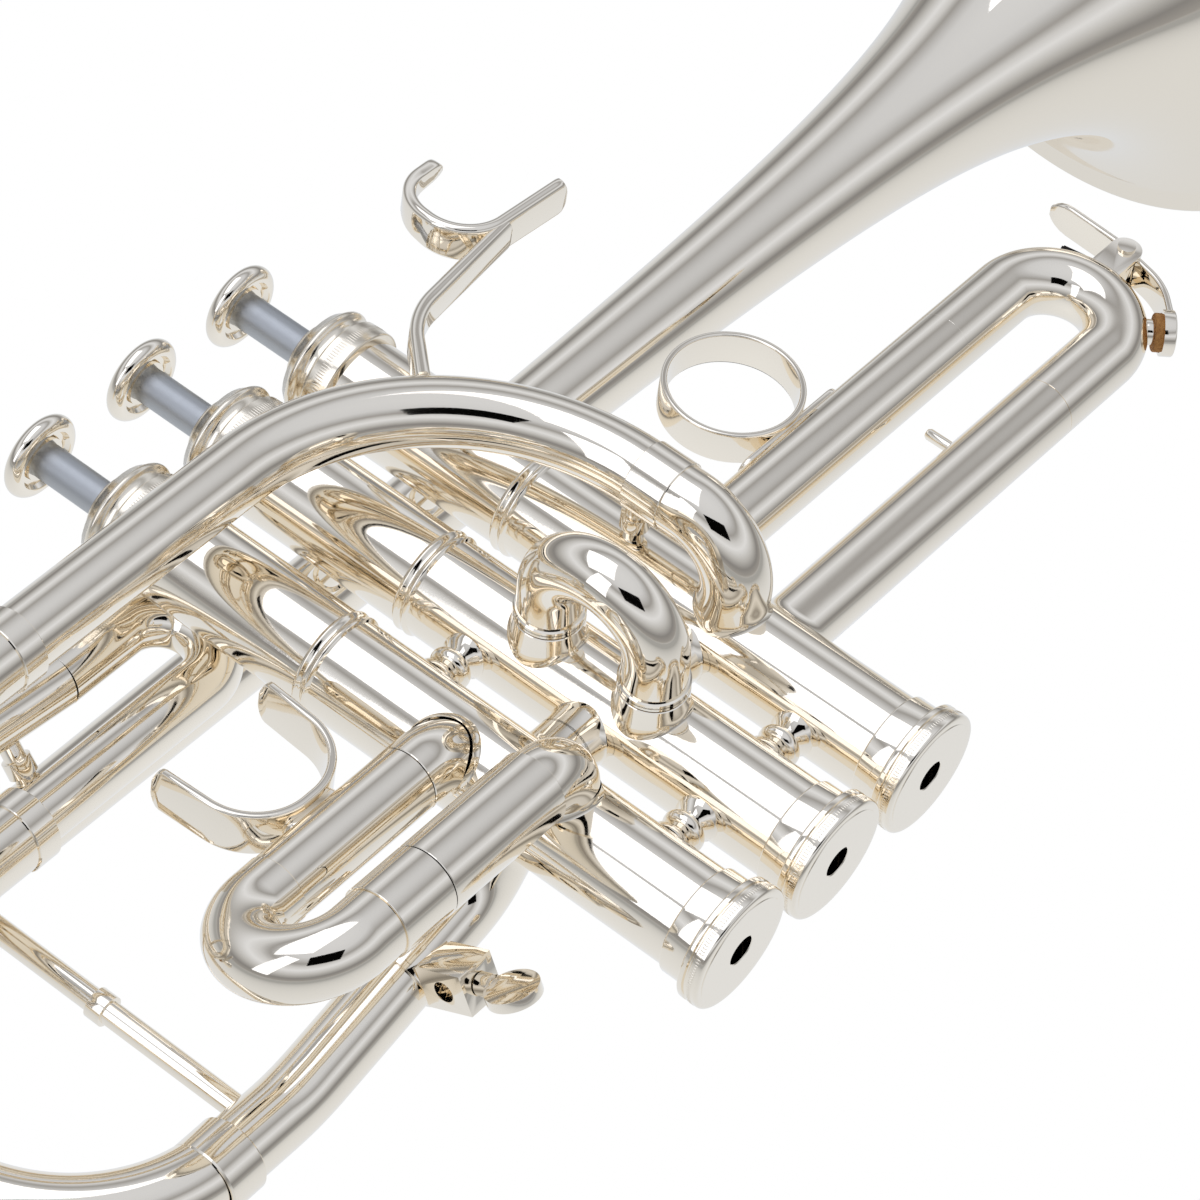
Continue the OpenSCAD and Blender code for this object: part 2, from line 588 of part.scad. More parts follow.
module bell_crook() row() color(silver) {
    u_pipe([bell_x0, tail_y, bell_z], [bell_x0, bell_y, bell_z], crook_x, -1, crook_r, tail_r - 0.2);
    for (y = [tail_y, bell_y]) tube([crook_x - 6, y, bell_z], [bell_x0, y, bell_z], crook_r + 0.5,
                                    crook_r - 0.2);
}

// Outer radius of the bell at a distance from its mouth
function bell_r(s) = throat_r + (bell_d / 2 - throat_r) * pow(flare / (s + flare), 2);
function bell_slope(s) = 2 * (bell_r(s) - throat_r) / (s + flare);
bell_stations = 30;
function station(k) = bell_l * pow(k / bell_stations, 1.7);

module on_bell() translate([bell_mouth_x, bell_y, bell_z]) rotate([0, -90, 0]) children();

module bell_solid() on_bell() rotate_extrude()
    polygon(concat([[0, 0.6]], [for (k = [0 : bell_stations]) [bell_r(station(k)), station(k) + 0.6]],
                   [[0, bell_l + 0.6]]));

// Bell: a thin flared wall with a bead round its mouth
module bell() row() color(silver) on_bell() rotate_extrude() {
    outer = [for (k = [0 : bell_stations]) [bell_r(station(k)), station(k)]];
    inner = [for (k = [bell_stations : -1 : 0]) let (s = station(k))
        [bell_r(s) - bell_wall * sqrt(1 + pow(bell_slope(s), 2)), s]];
    intersection() {
        polygon(concat(outer, inner));
        translate([0, bead_r]) square([bell_d, bell_l - bead_r]);
    }
    translate([bell_d / 2 - bead_r, bead_r]) circle(r = bead_r, $fn = 32);
}

// Lyre holder: a band round the tail and a block with the lyre's socket. It is drawn below the tail's
// axis and then turned up round it.
lyre_dir = unit(tail_path[2] - tail_path[1]);
lyre_at = tail_path[1] + (tail_path[2] - tail_path[1]) * 0.37;
lyre_turn = -30;
lyre_block = [8, 10, 8];
socket_y = -11.5;                      // the socket's and the block's middle
socket_r = 2;
lyre_thread_r = 1.5;
module on_lyre() row() translate(lyre_at) rotate([lyre_turn, 0, 0]) children();

module lyre_holder() color(silver) {
    row() between(lyre_at - lyre_dir * 2.5, lyre_at) difference() {
        cylinder(h = 5, r = tail_r + 0.9);
        translate([0, 0, -1]) cylinder(h = 7, r = tail_r);
    }
    difference() {
        on_lyre() translate([-lyre_block.x / 2, socket_y - lyre_block.y / 2, -lyre_block.z / 2])
            cube(lyre_block);
        row() rod(lyre_at - lyre_dir * 20, lyre_at + lyre_dir * 20, tail_r + 0.9);
        on_lyre() rod([-10, socket_y, 0], [10, socket_y, 0], socket_r);
        on_lyre() rod([0, socket_y - 9, 0], [0, socket_y, 0], lyre_thread_r);
    }
}

// Lyre screw: a threaded shank with a flat disc for the fingers
module lyre_screw() on_lyre() color(silver) {
    foot = socket_y - lyre_block.y / 2;
    rod([0, foot - 3.4, 0], [0, socket_y - socket_r - running_gap * 2, 0], lyre_thread_r - 0.05);
    rod([0, foot - 3, 0], [0, foot - 0.2, 0], 2.1);
    translate([0, foot - 7.4, -1]) cylinder(h = 2, r = 4.9);
}

// ---- Water keys ----

// Each is drawn round its bow's centre, with +X outwards from the bow and +Z along the hinge
key_half = 3;                          // half the lever's width
key_lift = 4.6;                        // hinge above the bow's outside
cork_r = 3.6;
key_arm = 15.3;                        // from the hinge to the cork, along the bow's outside
hinge_r = 0.8;
function cork_a(out) = -key_arm / out * 180 / PI;
function around(r, a) = [r * cos(a), r * sin(a), 0];

module key_saddle(bow_r, tube_r) {
    out = bow_r + tube_r;
    difference() {
        union() {
            for (side = [-1, 1]) translate([0, 0, side * (key_half + 0.7)]) {
                translate([out - 2.5, -3, -0.5]) cube([key_lift + 2.5, 6, 1]);
                translate([out + key_lift, 0, -0.5]) cylinder(h = 1, r = 3);
            }
            translate([out - 2.5, -3, -key_half - 1.2]) cube([3.3, 6, 2 * key_half + 2.4]);
            rod(around(out - 2, cork_a(out)), around(out + 0.9, cork_a(out)), 2.4);
            translate([out + key_lift, 0, -key_half - 2]) cylinder(h = 2 * key_half + 4, r = hinge_r);
            translate([out + key_lift, 0, key_half + 1.2]) cylinder(h = 0.9, r = 1.7);
        }
        rotate_extrude() translate([bow_r, 0]) circle(r = tube_r);
        rod(around(out - 3, cork_a(out)), around(out + 2, cork_a(out)), 1.1);
    }
}

module key_lever(bow_r, tube_r) {
    out = bow_r + tube_r;
    difference() {
        union() {
            translate([out + key_lift, 0, -key_half]) cylinder(h = 2 * key_half, r = 2);
            strip([around(out + 4.2, cork_a(out) * 1.18), around(out + 5.4, cork_a(out) / 2),
                   [out + key_lift + 1.6, 1, 0], [out + key_lift + 2.4, 17, 0]],
                  [0, 12, 14, 0], 1.2, 2 * key_half);
            rod(around(out + 2.2, cork_a(out)), around(out + 4.6, cork_a(out)), cork_r + 0.7);
        }
        rod(around(out + 1, cork_a(out)), around(out + 3.4, cork_a(out)), cork_r);
        translate([out + key_lift, 0, -10]) cylinder(h = 20, r = hinge_r + 0.05);
    }
}

module key_cork(bow_r, tube_r) {
    out = bow_r + tube_r;
    rod(around(out + 0.95, cork_a(out)), around(out + 3.4, cork_a(out)), cork_r);
}

// A wire that rests on the bow and pushes the thumb end of the lever outwards
module key_spring(bow_r, tube_r) {
    out = bow_r + tube_r;
    foot = around(out + 0.4, 580 / out);
    knee = around(out + 3.4, 530 / out);
    for (ends = [[foot, knee], [knee, [out + key_lift - 2.4, 1.5, 0]]])
        between(ends[0], ends[1]) translate([-0.3, -0.3, 0]) cube([0.6, 0.6, norm(ends[1] - ends[0])]);
}

module at_third_bow() row() translate([third_bow_x, (third_up_y + third_low_y) / 2, 0]) children();
module at_tuning_bow() row() {
    v = unit(tuning_span);
    place([-1, 0, 0], v, cross([-1, 0, 0], v), tuning_mid) children();
}

module third_key_saddle() color(silver) at_third_bow() key_saddle(third_bow_r, sleeve_r);
module third_key_lever() color(silver) at_third_bow() key_lever(third_bow_r, sleeve_r);
module third_key_cork() color(cork_brown) at_third_bow() key_cork(third_bow_r, sleeve_r);
module third_key_spring() color(steel) at_third_bow() key_spring(third_bow_r, sleeve_r);
module tuning_key_saddle() color(silver) at_tuning_bow() key_saddle(tuning_bow_r, sleeve_r);
module tuning_key_lever() color(silver) at_tuning_bow() key_lever(tuning_bow_r, sleeve_r);
module tuning_key_cork() color(cork_brown) at_tuning_bow() key_cork(tuning_bow_r, sleeve_r);
module tuning_key_spring() color(steel) at_tuning_bow() key_spring(tuning_bow_r, sleeve_r);

valve_casing(0);  // valve_casing_1
valve_casing(1);  // valve_casing_2
valve_casing(2);  // valve_casing_3
valve_links();
bottom_cap(0);  // bottom_cap_1
bottom_cap(1);  // bottom_cap_2
bottom_cap(2);  // bottom_cap_3
top_cap(0);  // top_cap_1
top_cap(1);  // top_cap_2
top_cap(2);  // top_cap_3
piston(0);  // piston_1
piston(1);  // piston_2
piston(2);  // piston_3
valve_stem(0);  // valve_stem_1
valve_stem(1);  // valve_stem_2
valve_stem(2);  // valve_stem_3
valve_felt(0);  // valve_felt_1
valve_felt(1);  // valve_felt_2
valve_felt(2);  // valve_felt_3
finger_button(0);  // finger_button_1
finger_button(1);  // finger_button_2
finger_button(2);  // finger_button_3
valve_spring(0);  // valve_spring_1
valve_spring(1);  // valve_spring_2
valve_spring(2);  // valve_spring_3
mouthpiece();
receiver();
leadpipe();
leadpipe_bow();
return_tube();
tuning_sleeves();
entry_tube();
entry_elbow();
braces();
finger_hook();
first_knuckles();
first_slide();
thumb_saddle();
second_stubs();
second_slide();
third_legs();
third_slide();
finger_ring();
tuning_slide();
bell_tail();
lyre_holder();
lyre_screw();
bell_crook();
bell();
third_key_saddle();
third_key_lever();
third_key_cork();
third_key_spring();
tuning_key_saddle();
tuning_key_lever();
tuning_key_cork();
tuning_key_spring();
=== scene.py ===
import math

import bmesh
import bpy
from mathutils import Euler, Matrix, Vector


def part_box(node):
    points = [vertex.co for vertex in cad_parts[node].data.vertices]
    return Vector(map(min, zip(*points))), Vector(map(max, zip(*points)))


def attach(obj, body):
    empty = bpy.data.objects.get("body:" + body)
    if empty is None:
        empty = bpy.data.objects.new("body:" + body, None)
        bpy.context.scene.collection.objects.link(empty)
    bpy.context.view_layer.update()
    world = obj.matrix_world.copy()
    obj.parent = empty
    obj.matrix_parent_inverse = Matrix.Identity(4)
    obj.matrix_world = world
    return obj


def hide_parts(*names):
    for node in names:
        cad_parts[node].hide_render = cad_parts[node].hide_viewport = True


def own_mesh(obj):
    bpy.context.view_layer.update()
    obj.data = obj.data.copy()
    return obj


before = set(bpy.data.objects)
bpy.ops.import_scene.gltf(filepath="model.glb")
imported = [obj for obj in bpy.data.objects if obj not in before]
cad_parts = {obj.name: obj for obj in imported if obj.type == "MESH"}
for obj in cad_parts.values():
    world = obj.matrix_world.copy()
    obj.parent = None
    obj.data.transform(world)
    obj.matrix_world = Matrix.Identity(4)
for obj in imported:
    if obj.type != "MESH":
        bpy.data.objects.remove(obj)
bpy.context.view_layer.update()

# ---- Placing ----
# The cornet lies on its left side. Every piece below is drawn in millimetres from the centre of the
# middle valve's bottom cap: x towards the bell, y up the valves to the buttons, z up from the table.
MM = 0.001
cap_low, cap_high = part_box("bottom_cap_2")
ORIGIN = Vector(((cap_low[0] + cap_high[0]) / 2, cap_low[1], (cap_low[2] + cap_high[2]) / 2))
X, Y, Z = Vector((1, 0, 0)), Vector((0, 1, 0)), Vector((0, 0, 1))


def at(x, y, z):
    return ORIGIN + Vector((x, y, z)) * MM


def linear(hex_colour):
    """An sRGB hex value as linear RGBA."""
    parts = [int(hex_colour[i:i + 2], 16) / 255 for i in (1, 3, 5)]
    return [c / 12.92 if c <= 0.04045 else ((c + 0.055) / 1.055) ** 2.4 for c in parts] + [1]


def node(tree, kind, links=None, **settings):
    """Adds a node, sets what is named, and links or sets its inputs."""
    new = tree.nodes.new(kind)
    for key, value in settings.items():
        setattr(new, key, value)
    for socket, source in (links or {}).items():
        if isinstance(source, bpy.types.NodeSocket):
            tree.links.new(source, new.inputs[socket])
        else:
            new.inputs[socket].default_value = source
    return new


def new_material(name):
    material = bpy.data.materials.new(name)
    material.use_nodes = True
    tree = material.node_tree
    return material, tree, tree.nodes["Principled BSDF"], node(tree, "ShaderNodeTexCoord").outputs["Object"]


# ---- Camera and studio ----
# A long lens looks down on the valve block from the player's side. Polished silver shows its room,
# so the room is white with grey bands, and two bright cards and a dark one stand out of sight.
aim = at(-1.6, 53.2, 24.0)
azimuth, elevation, roll, distance = 31.55, 47.41, 10.06, 0.908
look = Euler((math.radians(90 - elevation), 0, math.radians(azimuth - 90))).to_matrix()
camera_data = bpy.data.cameras.new("camera")
camera_data.lens, camera_data.sensor_width, camera_data.clip_start = 165, 36, 0.05
camera = bpy.data.objects.new("camera", camera_data)
bpy.context.scene.collection.objects.link(camera)
bpy.context.scene.camera = camera
turned = look @ Matrix.Rotation(math.radians(roll), 3, "Z")
camera.matrix_world = Matrix.Translation(aim + look @ Vector((0, 0, distance))) @ turned.to_4x4()

bpy.context.scene.view_settings.view_transform = "Standard"

world = bpy.data.worlds.new("white_room")
bpy.context.scene.world = world
world.use_nodes = True
sky = world.node_tree
sky.nodes.clear()
ray = node(sky, "ShaderNodeTexCoord").outputs["Generated"]
height = node(sky, "ShaderNodeSeparateXYZ", {0: ray}).outputs["Z"]
bands = node(sky, "ShaderNodeValToRGB", {0: node(sky, "ShaderNodeMapRange", {
    "Value": height, "From Min": -1.0, "From Max": 1.0}).outputs[0]})
stops = [(0.0, "#F4F2EE"), (0.47, "#E6E3DE"), (0.50, "#AFABA5"), (0.56, "#9A9793"), (0.64, "#D2D0CC"),
         (0.74, "#FFFFFF"), (0.80, "#E8E7E5"), (0.85, "#B4B1AD"), (0.93, "#ECECEC"), (1.0, "#F4F4F4")]
for element, (place, colour) in zip(bands.color_ramp.elements, (stops[0], stops[-1])):
    element.position, element.color = place, linear(colour)
for place, colour in stops[1:-1]:
    bands.color_ramp.elements.new(place).color = linear(colour)
seen = node(sky, "ShaderNodeLightPath").outputs["Is Camera Ray"]
cool = node(sky, "ShaderNodeMixRGB", {0: 1.0, 1: bands.outputs[0], 2: linear("#E3EAF8")},
            blend_type="MULTIPLY")
mixed = node(sky, "ShaderNodeMixRGB", {0: seen, 1: cool.outputs[0], 2: (1, 1, 1, 1)})
back = node(sky, "ShaderNodeBackground", {"Color": mixed.outputs[0], "Strength": 1.0})
node(sky, "ShaderNodeOutputWorld", {"Surface": back.outputs[0]})


def card(name, centre, size, hex_colour, glow, facing=None, hidden=True):
    """A flat card of the studio, which faces a point."""
    mesh = bpy.data.meshes.new(name)
    w, h = size[0] / 2, size[1] / 2
    mesh.from_pydata([(-w, -h, 0), (w, -h, 0), (w, h, 0), (-w, h, 0)], [], [(0, 1, 2, 3)])
    obj = bpy.data.objects.new(name, mesh)
    bpy.context.scene.collection.objects.link(obj)
    obj.location = centre
    if facing:
        obj.rotation_euler = (facing - Vector(centre)).to_track_quat("Z", "Y").to_euler()
    material, _, shader, _ = new_material(name)
    shader.inputs["Base Color"].default_value = linear(hex_colour)
    shader.inputs["Roughness"].default_value = 0.9
    shader.inputs["Specular IOR Level"].default_value = 0
    shader.inputs["Emission Color"].default_value = linear(hex_colour)
    shader.inputs["Emission Strength"].default_value = glow
    mesh.materials.append(material)
    obj.visible_camera = not hidden
    return obj


# The floor glows rather than being lit: plain white to the camera, and in reflections a painted pool of
# light, brightest at its middle and dimmer towards its edges, so the silver stands out from it.
floor = card("floor", (0, 0, -0.0005), (6, 6), "#FFFFFF", 0.0, hidden=False)
tree = floor.data.materials[0].node_tree
# A spherical gradient paints the pool of light on the floor, bright at the middle and falling off outwards.
floor_light_pool = node(tree, "ShaderNodeTexGradient", {"Vector": node(tree, "ShaderNodeMapping", {
    "Vector": node(tree, "ShaderNodeTexCoord").outputs["Object"], "Scale": (1.1, 1.1, 1.1)}).outputs[0]},
             gradient_type="SPHERICAL")
shade = node(tree, "ShaderNodeMixRGB", {0: floor_light_pool.outputs[0], 1: linear("#A6AAB0"), 2: linear("#EDF2FA")})
direct = node(tree, "ShaderNodeLightPath").outputs["Is Camera Ray"]
shown = node(tree, "ShaderNodeMixRGB", {0: direct, 1: shade.outputs[0], 2: (1, 1, 1, 1)})
lit = node(tree, "ShaderNodeEmission", {"Color": shown.outputs[0], "Strength": 1.0})
tree.links.new(lit.outputs[0], tree.nodes["Material Output"].inputs["Surface"])
middle = at(0, 70, 10)
card("top_light", middle + Vector((-0.1, 0.5, 1.3)), (1.3, 0.9), "#EEF3FF", 1.15, middle)
card("side_light", middle + Vector((-1.2, 0.3, 0.7)), (0.5, 1.2), "#EEF3FF", 1.15, middle)
card("dark_card", middle + Vector((-0.75, -0.75, 1.25)), (1.0, 0.6), "#0B0A09", 0.0, middle)

# ---- Silver plate ----
# Brass electroplated with silver and buffed by hand: near-white, a little warm, mirror bright, so
# tubes that reflect each other turn gold-brown. Hand buffing leaves faint hazy patches and swirls.
HAZE_MM = 14
SWIRL_MM = 0.5


def silver_plate(name, hex_colour="#F8EEDD", low=0.025, high=0.085):
    material, tree, shader, place = new_material(name)
    shader.inputs["Base Color"].default_value = linear(hex_colour)
    shader.inputs["Metallic"].default_value = 1
    haze = node(tree, "ShaderNodeTexNoise", {"Vector": place, "Scale": 1000 / HAZE_MM, "Detail": 3})
    spread = node(tree, "ShaderNodeMapRange", {"Value": haze.outputs[0], "From Min": 0.3, "From Max": 0.7,
                                               "To Min": low, "To Max": high})
    tree.links.new(spread.outputs[0], shader.inputs["Roughness"])
    swirl = node(tree, "ShaderNodeTexNoise", {"Vector": place, "Scale": 1000 / SWIRL_MM, "Detail": 2})
    buff = node(tree, "ShaderNodeBump", {"Height": swirl.outputs[0], "Strength": 0.012, "Distance": 0.0001})
    wave = node(tree, "ShaderNodeBump", {"Height": haze.outputs[0], "Strength": 0.05, "Distance": 0.0004,
                                         "Normal": buff.outputs[0]})
    tree.links.new(wave.outputs[0], shader.inputs["Normal"])
    return material


SILVER = silver_plate("buffed_silver_plate")
SATIN_SILVER = silver_plate("silver_plate_on_turned_brass", "#F3E8D5", 0.12, 0.22)

# ---- Valve casings ----
# Three drawn brass tubes, plated, with a turned ring at the foot and a narrow band where the upper
# and lower casing are joined.
PITCH = 26
CASING_R = 9.4
BORE_R = 8.4
BLOCK_H = 138.7
CASING_Y0, CASING_Y1 = 1.5, BLOCK_H - 3.7
JOINT_Y = 87.2
VALVE_X = (-PITCH, 0, PITCH)

# The bore is bare brass, coloured a dark brown, so it isn't as bright as the plate outside.
BORE, tree, shader, place = new_material("dark_brass_bore")
shader.inputs["Base Color"].default_value = linear("#4A3A24")
shader.inputs["Metallic"].default_value = 1
oil = node(tree, "ShaderNodeTexNoise", {"Vector": place, "Scale": 1000 / HAZE_MM})
oily = node(tree, "ShaderNodeMapRange", {"Value": oil.outputs[0], "To Min": 0.2, "To Max": 0.4})
tree.links.new(oily.outputs[0], shader.inputs["Roughness"])


def skin(rings):
    """Faces between rows of points that have the same count."""
    count = len(rings[0])
    faces = []
    for r in range(len(rings) - 1):
        for k in range(count):
            n = (k + 1) % count
            faces.append((r * count + k, r * count + n, (r + 1) * count + n, (r + 1) * count + k))
    return [p for ring in rings for p in ring], faces


def lathe(profile, centre, axis, sides=96):
    """A turned shape: profile is (radius, distance along the axis) in order round the outline."""
    axis = Vector(axis).normalized()
    side = axis.orthogonal().normalized()
    other = axis.cross(side)
    rows = []
    for radius, along_axis in profile:
        middle_point = Vector(centre) + axis * along_axis
        rows.append([middle_point + (side * math.cos(a) + other * math.sin(a)) * radius
                     for a in (math.tau * k / sides for k in range(sides))])
    return skin(rows)


def arc(cx, cy, radius, start, end, count=8):
    """Points of a round stretch of a profile, in degrees."""
    turn = [math.radians(start + (end - start) * k / count) for k in range(count + 1)]
    return [(cx + radius * math.cos(a), cy + radius * math.sin(a)) for a in turn]


def piece(name, shapes, material, body, *nodes, slot="silver", sharp=42):
    """Joins shapes into one smooth mesh, which stands for the named CAD nodes."""
    work = bmesh.new()
    for points, faces in shapes:
        new = [work.verts.new(ORIGIN + p * MM) for p in points]
        for face in faces:
            work.faces.new([new[k] for k in face])
    bmesh.ops.remove_doubles(work, verts=work.verts, dist=1e-7)
    bmesh.ops.dissolve_degenerate(work, edges=work.edges, dist=1e-8)
    bmesh.ops.recalc_face_normals(work, faces=work.faces)
    mesh = bpy.data.meshes.new(name)
    work.to_mesh(mesh)
    work.free()
    mesh.polygons.foreach_set("use_smooth", [True] * len(mesh.polygons))
    mesh.set_sharp_from_angle(angle=math.radians(sharp))
    mesh.materials.append(material)
    obj = bpy.data.objects.new(name, mesh)
    bpy.context.scene.collection.objects.link(obj)
    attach(obj, body)
    if nodes:
        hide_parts(*nodes)
    return obj


for i, x in enumerate(VALVE_X):
    band = [(CASING_R, JOINT_Y - 1.6)] + arc(CASING_R + 0.05, JOINT_Y - 0.9, 0.5, -60, 60, 4) \
        + [(CASING_R + 0.15, JOINT_Y)] + arc(CASING_R + 0.05, JOINT_Y + 1, 0.5, -60, 60, 4) \
        + [(CASING_R, JOINT_Y + 1.7)]
    foot = arc(CASING_R + 0.35, 8.9, 0.35, 0, 90, 3)
    outline = [(BORE_R, CASING_Y0), (CASING_R + 0.5, CASING_Y0), (CASING_R + 0.7, 4.4)] + foot \
        + [(CASING_R, 9.3)] + band + [(CASING_R, CASING_Y1), (BORE_R, CASING_Y1), (BORE_R, CASING_Y0)]
    casing = piece(f"casing_{i + 1}", [lathe(outline, (x, 0, 0), Y)], SILVER, "horn",
                   f"valve_casing_{i + 1}")
    casing.data.materials.append(BORE)
    for face in casing.data.polygons:
        away = Vector(face.center) - at(x, 0, 0)
        if math.hypot(away.x, away.z) < (BORE_R + 0.1) * MM:
            face.material_index = 1

# ---- Links between the valves ----
# Short turned struts with waisted middles, soldered between the casings, and the air tubes.
STRUT_Y = (22.5, 73)
LINK_R, LINK_Y, LINK_TUBE_R = 3.8, 48, 5.8


def corner_arc(path, bends, i, step=3):
    """Points and directions round one corner of a path."""
    before, after = (path[i] - path[i - 1]).normalized(), (path[i + 1] - path[i]).normalized()
    angle = before.angle(after)
    normal = before.cross(after).normalized()
    centre = path[i] - before * bends[i] * math.tan(angle / 2) + normal.cross(before) * bends[i]
    arm = before.cross(normal) * bends[i]
    count = max(2, math.ceil(math.degrees(angle) / step))
    for k in range(count + 1):
        spin = Matrix.Rotation(angle * k / count, 3, normal)
        yield centre + spin @ arm, spin @ before


def stations(path, bends):
    """Points and directions along a path, with its corners rounded."""
    found = [(path[0], (path[1] - path[0]).normalized())]
    for i in range(1, len(path) - 1):
        found += list(corner_arc(path, bends, i))
    return found + [(path[-1], (path[-1] - path[-2]).normalized())]


def along(line, spots):
    """Adds stations near each end of the line, at the given distances from it."""
    start, end = line[0], line[-1]
    head = [(start[0] + start[1] * d, start[1]) for d in spots]
    tail = [(end[0] - end[1] * d, end[1]) for d in reversed(spots)]
    return [start] + head + line[1:-1] + tail + [end]


def ring_frames(line, up=None):
    """Two axes across each station, carried along without twist, or held to a fixed up."""
    side = up.cross(line[0][1]).normalized() if up else line[0][1].orthogonal().normalized()
    frames = []
    for _, ahead in line:
        side = up.cross(ahead).normalized() if up else (side - ahead * side.dot(ahead)).normalized()
        frames.append((side, ahead.cross(side)))
    return frames


def seat_on(point, ahead, seat):
    """Slides a point along the tube until it lies on a valve casing of that x and radius."""
    x0, radius = seat
    dx, dz = point.x - x0, point.z
    a = ahead.x ** 2 + ahead.z ** 2
    b = dx * ahead.x + dz * ahead.z
    root = max(0.0, b * b - a * (dx * dx + dz * dz - radius ** 2))
    return point + ahead * ((-b + math.sqrt(root)) / a)


def tube(path, bends, outer, inner, seat=None, sides=64, flare=0.0, lip=0.15):
    """A tube's outside, its rounded ends and its inside. seat fits the first end to a casing."""
    path = [Vector(p) for p in path]
    line = along(stations(path, bends), (lip, 1.2))
    last = len(line) - 1
    frames = ring_frames(line)

    def ring(i, radius):
        point, ahead = line[i]
        s, t = frames[i]
        turn = [math.tau * k / sides for k in range(sides)]
        out = [point + (s * math.cos(a) + t * math.sin(a)) * radius for a in turn]
        if seat and i <= 2:
            out = [seat_on(p, ahead, seat) + ahead * (0.0, 0.45, 1.6)[i] for p in out]
        return out

    grow = {0: flare, 1: flare * 0.35, 2: flare * 0.05} if seat else {0: -lip, last: -lip}
    if seat:
        grow[last] = -lip
    outside = [ring(i, outer + grow.get(i, 0)) for i in range(last + 1)]
    inside = [ring(i, inner) for i in range(last, -1, -1)]
    return skin(outside + inside + [outside[0]])


strut_shapes = []
for left, right in ((-PITCH, 0), (0, PITCH)):
    gap = PITCH - 2 * CASING_R
    for y in STRUT_Y:
        reach = gap / 2 + 0.7
        waist = [(0, -reach), (LINK_R + 0.6, -reach), (LINK_R + 0.3, -gap / 2 + 0.5),
                 (LINK_R - 1.1, -gap / 2 + 1.5)]
        bead = arc(LINK_R - 1.3, 0, 1.6, -90, 90, 10)
        strut_shapes.append(lathe(waist + bead + [(r, -d) for r, d in reversed(waist)],
                                  ((left + right) / 2, y, 0), X, 64))
    middle_x = (left + right) / 2
    for x in (left, right):
        strut_shapes.append(tube([(x, LINK_Y, 0), (middle_x + (middle_x - x) * 0.02, LINK_Y, 0)], [0, 0],
                                 LINK_TUBE_R, LINK_TUBE_R - 0.6, seat=(x, CASING_R - 0.3), flare=0.6,
                                 lip=0.01))
piece("valve_struts", strut_shapes, SILVER, "horn", "valve_links")

# ---- Bottom caps ----
# Turned cups that screw on under the valves. The rim is milled with fine ridges above a groove, and
# a vent hole is drilled through the flat face.
CAP_R = 11.8
VENT_R = 2.8
RIDGES = 130
RIDGE_SHARE = 0.8


def ridge_tree():
    """Geometry Nodes: small rounded ridges set round a circle, facing out."""
    tree = bpy.data.node_groups.new("milled_rim", "GeometryNodeTree")
    tree.interface.new_socket("Geometry", in_out="INPUT", socket_type="NodeSocketGeometry")
    for label, kind in (("Radius", "NodeSocketFloat"), ("Count", "NodeSocketInt"),
                        ("Height", "NodeSocketFloat"), ("Width", "NodeSocketFloat"),
                        ("Finish", "NodeSocketMaterial")):
        tree.interface.new_socket(label, in_out="INPUT", socket_type=kind)
    tree.interface.new_socket("Geometry", in_out="OUTPUT", socket_type="NodeSocketGeometry")
    given = node(tree, "NodeGroupInput").outputs
    circle = node(tree, "GeometryNodeMeshCircle", {"Vertices": given["Count"], "Radius": given["Radius"]})
    size = node(tree, "ShaderNodeCombineXYZ", {0: given["Width"], 1: given["Width"], 2: given["Height"]})
    bead = node(tree, "GeometryNodeMeshUVSphere", {"Segments": 8, "Rings": 6, "Radius": 0.5})
    ridge = node(tree, "GeometryNodeTransform", {"Geometry": bead.outputs[0], "Scale": size.outputs[0]})
    placed = node(tree, "GeometryNodeInstanceOnPoints", {"Points": circle.outputs[0],
                                                         "Instance": ridge.outputs[0]})
    real = node(tree, "GeometryNodeRealizeInstances", {0: placed.outputs[0]})
    smooth = node(tree, "GeometryNodeSetShadeSmooth", {0: real.outputs[0]})
    dressed = node(tree, "GeometryNodeSetMaterial", {"Geometry": smooth.outputs[0],
                                                     "Material": given["Finish"]})
    node(tree, "NodeGroupOutput", {0: dressed.outputs[0]})
    return tree


MILLED_RIM = ridge_tree()


def grown(name, tree, values, centre):
    """The mesh that a Geometry Nodes tree makes, with its z axis laid along the valves."""
    host = bpy.data.objects.new(name + "_host", bpy.data.meshes.new(name + "_host"))
    bpy.context.scene.collection.objects.link(host)
    modifier = host.modifiers.new("made", "NODES")
    modifier.node_group = tree
    for item in tree.interface.items_tree:
        if item.in_out == "INPUT" and item.name in values:
            modifier[item.identifier] = values[item.name]
    graph = bpy.context.evaluated_depsgraph_get()
    mesh = bpy.data.meshes.new_from_object(host.evaluated_get(graph), depsgraph=graph)
    bpy.data.objects.remove(host)
    mesh.transform(Matrix.Translation(at(*centre)) @ Matrix.Rotation(math.radians(-90), 4, "X"))
    mesh.name = name
    obj = bpy.data.objects.new(name, mesh)
    bpy.context.scene.collection.objects.link(obj)
    return obj


def milled_rim(name, centre, radius, count, height, finish):
    """One ring of ridges round a valve's axis."""
    rim = grown(name, MILLED_RIM, {"Radius": radius * MM, "Count": count, "Height": height * MM,
                                   "Width": math.tau * radius / count * RIDGE_SHARE * MM,
                                   "Finish": finish}, centre)
    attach(rim, "horn")


